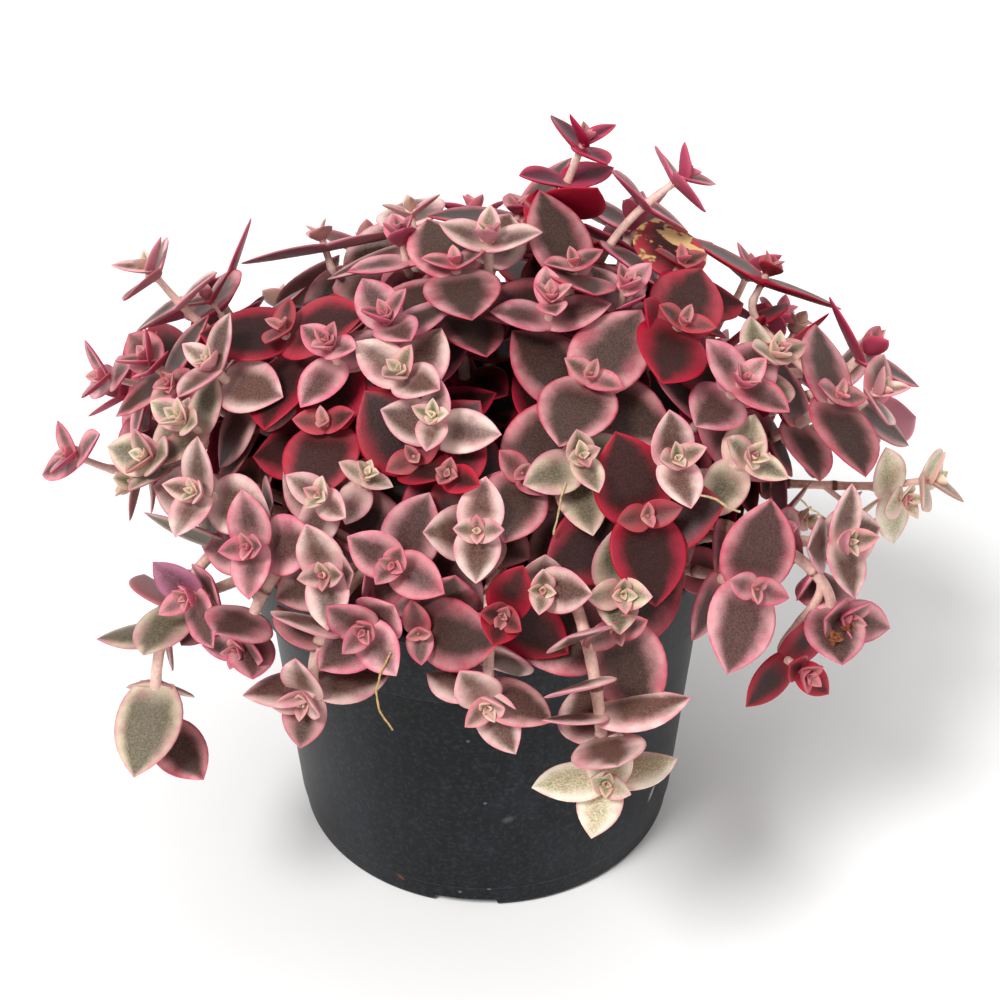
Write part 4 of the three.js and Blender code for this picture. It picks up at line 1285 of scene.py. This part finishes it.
def makeSoil():
    look = soilLook
    gap, bed, step, top = look["gap"], pot["floor"] + look["seat"], ledge + look["seat"], plan["soilTop"]
    share = (top - ledge) / (pot["height"] - ledge)
    brim = pot["rimFootRadius"] + (pot["rimRadius"] - pot["rimFootRadius"]) * share - gap
    profile = [
        (0, bed), (pot["footRadius"] - gap, bed), (pot["wallTopRadius"] - gap, step),
        (pot["rimFootRadius"] - gap, step), (brim, top - look["edge"]),
    ]
    profile += [(brim * (1 - i / look["rings"]), top) for i in range(look["rings"] + 1)]
    ground = turnedMesh("pottingSoil", profile, look["sides"])
    low, far = (top - look["topBand"]) * mm, (brim - look["brimBand"]) * mm
    isTop = [float(vertex.co.z > low and vertex.co.xy.length < far) for vertex in ground.vertices]
    ground.attributes.new("isTop", "FLOAT", "POINT").data.foreach_set("value", isTop)
    values = dict(look["inputs"], Skin=pottingMix())
    piece = grow("pottingSoil", ground, crumbTree(values), values)
    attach(piece, "root")
    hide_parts("soil")


makeSoil()
print("soil laid")


# Dry threads and flower bits that lie on the leaves

litter = {
    "threads": [  # picture points from end to end, radius in mm, tint
        (((391, 652), (381, 672), (376, 692), (380, 712), (393, 730)), 0.22, "#c2a066"),
        (((566, 483), (561, 497), (558, 515), (553, 535)), 0.24, "#d6bd8c"),
        (((700, 495), (716, 499), (728, 508), (740, 512)), 0.24, "#cdb58a"),
        (((800, 498), (808, 507), (817, 512), (825, 519)), 0.22, "#cdb58a"),
    ],
    "flowers": [((835, 640), 2.2), ((848, 628), 1.6)],  # picture point, size in mm
    "picture": 1000, "lift": 0.35, "sag": 4.0, "stray": 0.2, "steps": 5, "seed": 21,
    "girth": (0.7, 0.5), "bevelSteps": 2,  # a thread's least girth, and how much more
    "noises": {"fibre": (0.5, 3.0)}, "shade": (0.3, 0.7, 0.55, 1.1), "gloss": {"Roughness": 0.8},
    "petalTint": "#8a4a24", "petals": 7, "petalTurn": 51.0, "petalAxis": (0.3, 0.5, 0.8),
    "petalShape": (0.55, 0.35, 0.14), "petalDroop": (0.5, 0.5, 0.2), "petalOut": 0.5,
    "curl": 0.3, "curls": 900.0,
}


def pictureRay(spot):  # eye and direction through a picture point, in mm
    eye, target = (np.array(camera[key]) for key in ("eye", "target"))
    ahead = unit(target - eye)
    right = unit(cross(ahead, (0, 0, 1)))
    up = cross(right, ahead)
    focal = camera["lens"] / camera["sensor"] * litter["picture"]
    middle = litter["picture"] / 2
    return eye, unit(ahead * focal + right * (spot[0] - middle) + up * (middle - spot[1]))


def strawSkin(name, tint):
    # Dry plant litter: pale straw to brown, rough. Made from fine noise over one tint.
    material, add, _, noise = newSkin(name, litter["noises"])
    shade = add("MapRange", noise["fibre"], *litter["shade"])
    colour = add("Mix", 1.0, linear(tint), shade, blend_type="MULTIPLY", **inColour)
    return finishSkin(material, colour, litter["gloss"])


def tautDepth(depths, i):  # a thread drawn tight over what lies under it
    ends = ((j, k) for j in range(i + 1) for k in range(i, len(depths)))
    return min(np.interp(i, (j, k), (depths[j], depths[k])) for j, k in ends)


def threadMesh(spots, radius, foliage, random):  # a thread that lies along picture points
    shares = np.linspace(0, len(spots) - 1, litter["steps"] * (len(spots) - 1) + 1)
    across, down = (np.interp(shares, range(len(spots)), row) for row in zip(*spots))
    rays = [pictureRay(spot) for spot in zip(across, down)]
    hits = [foliage.ray_cast(eye, aim)[3] for eye, aim in rays]
    nearest = min(hit for hit in hits if hit)
    depths = [min(hit or math.inf, nearest + litter["sag"]) for hit in hits]
    line = bpy.data.curves.new("dryThread", "CURVE")
    line.dimensions = "3D"
    line.bevel_depth = radius * mm
    line.bevel_resolution = litter["bevelSteps"]
    line.use_fill_caps = True
    spline = line.splines.new("NURBS")
    spline.points.add(len(rays) - 1)
    for i, (point, (eye, aim)) in enumerate(zip(spline.points, rays)):
        place = eye + aim * (tautDepth(depths, i) - litter["lift"])
        place += [stray(random, litter["stray"]) for _ in range(3)]
        point.co = (*(place * mm), 1)
        point.radius = drawn(random, *litter["girth"])
    spline.use_endpoint_u = True
    holder = addObject("threadLine", line)
    mesh = plainMesh(holder)
    bpy.data.objects.remove(holder)
    mesh.materials.clear()
    return mesh


def flowerMesh(place, aim, size, random):  # a withered flower: bent petals round a place on a leaf
    made = bmesh.new()
    droop = np.array(litter["petalDroop"])
    for petal in range(litter["petals"]):
        bent = bmesh.ops.create_icosphere(made, subdivisions=2, radius=size * mm)["verts"]
        aside = unit(np.array([random(), random(), random()]) - droop)
        for vertex in bent:
            spread = np.array(vertex.co) * litter["petalShape"]
            curl = litter["curl"] * math.sin(litter["curls"] * vertex.co.x + petal) * size * mm
            spread = turned(spread, unit(np.array(litter["petalAxis"])), litter["petalTurn"] * petal)
            vertex.co = Vector(spread + aside * (litter["petalOut"] * size * mm + curl))
            vertex.co += (place - Vector(aim) * size / 2) * mm
    return meshOf(made, "witheredFlower")


def addLitter():
    below = [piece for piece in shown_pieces() if piece.name.startswith("leafy") or piece.name == "nurseryPot"]
    foliage = surfaceOf(below)[1]
    random = seededRandom(litter["seed"])
    for number, (spots, radius, tint) in enumerate(litter["threads"]):
        mesh = threadMesh(spots, radius, foliage, random)
        mesh.materials.append(strawSkin("dryStraw", tint))
        mesh.shade_smooth()
        piece = addObject(f"dryThread_{number + 1}", mesh)
        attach(piece, "root")

    withered = strawSkin("witheredPetal", litter["petalTint"])
    for number, (spot, size) in enumerate(litter["flowers"]):
        eye, aim = pictureRay(spot)
        mesh = flowerMesh(foliage.ray_cast(eye, aim)[0], aim, size, random)
        mesh.materials.append(withered)
        mesh.shade_smooth()
        piece = addObject(f"witheredFlower_{number + 1}", mesh)
        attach(piece, "root")


addLitter()
print("litter laid")
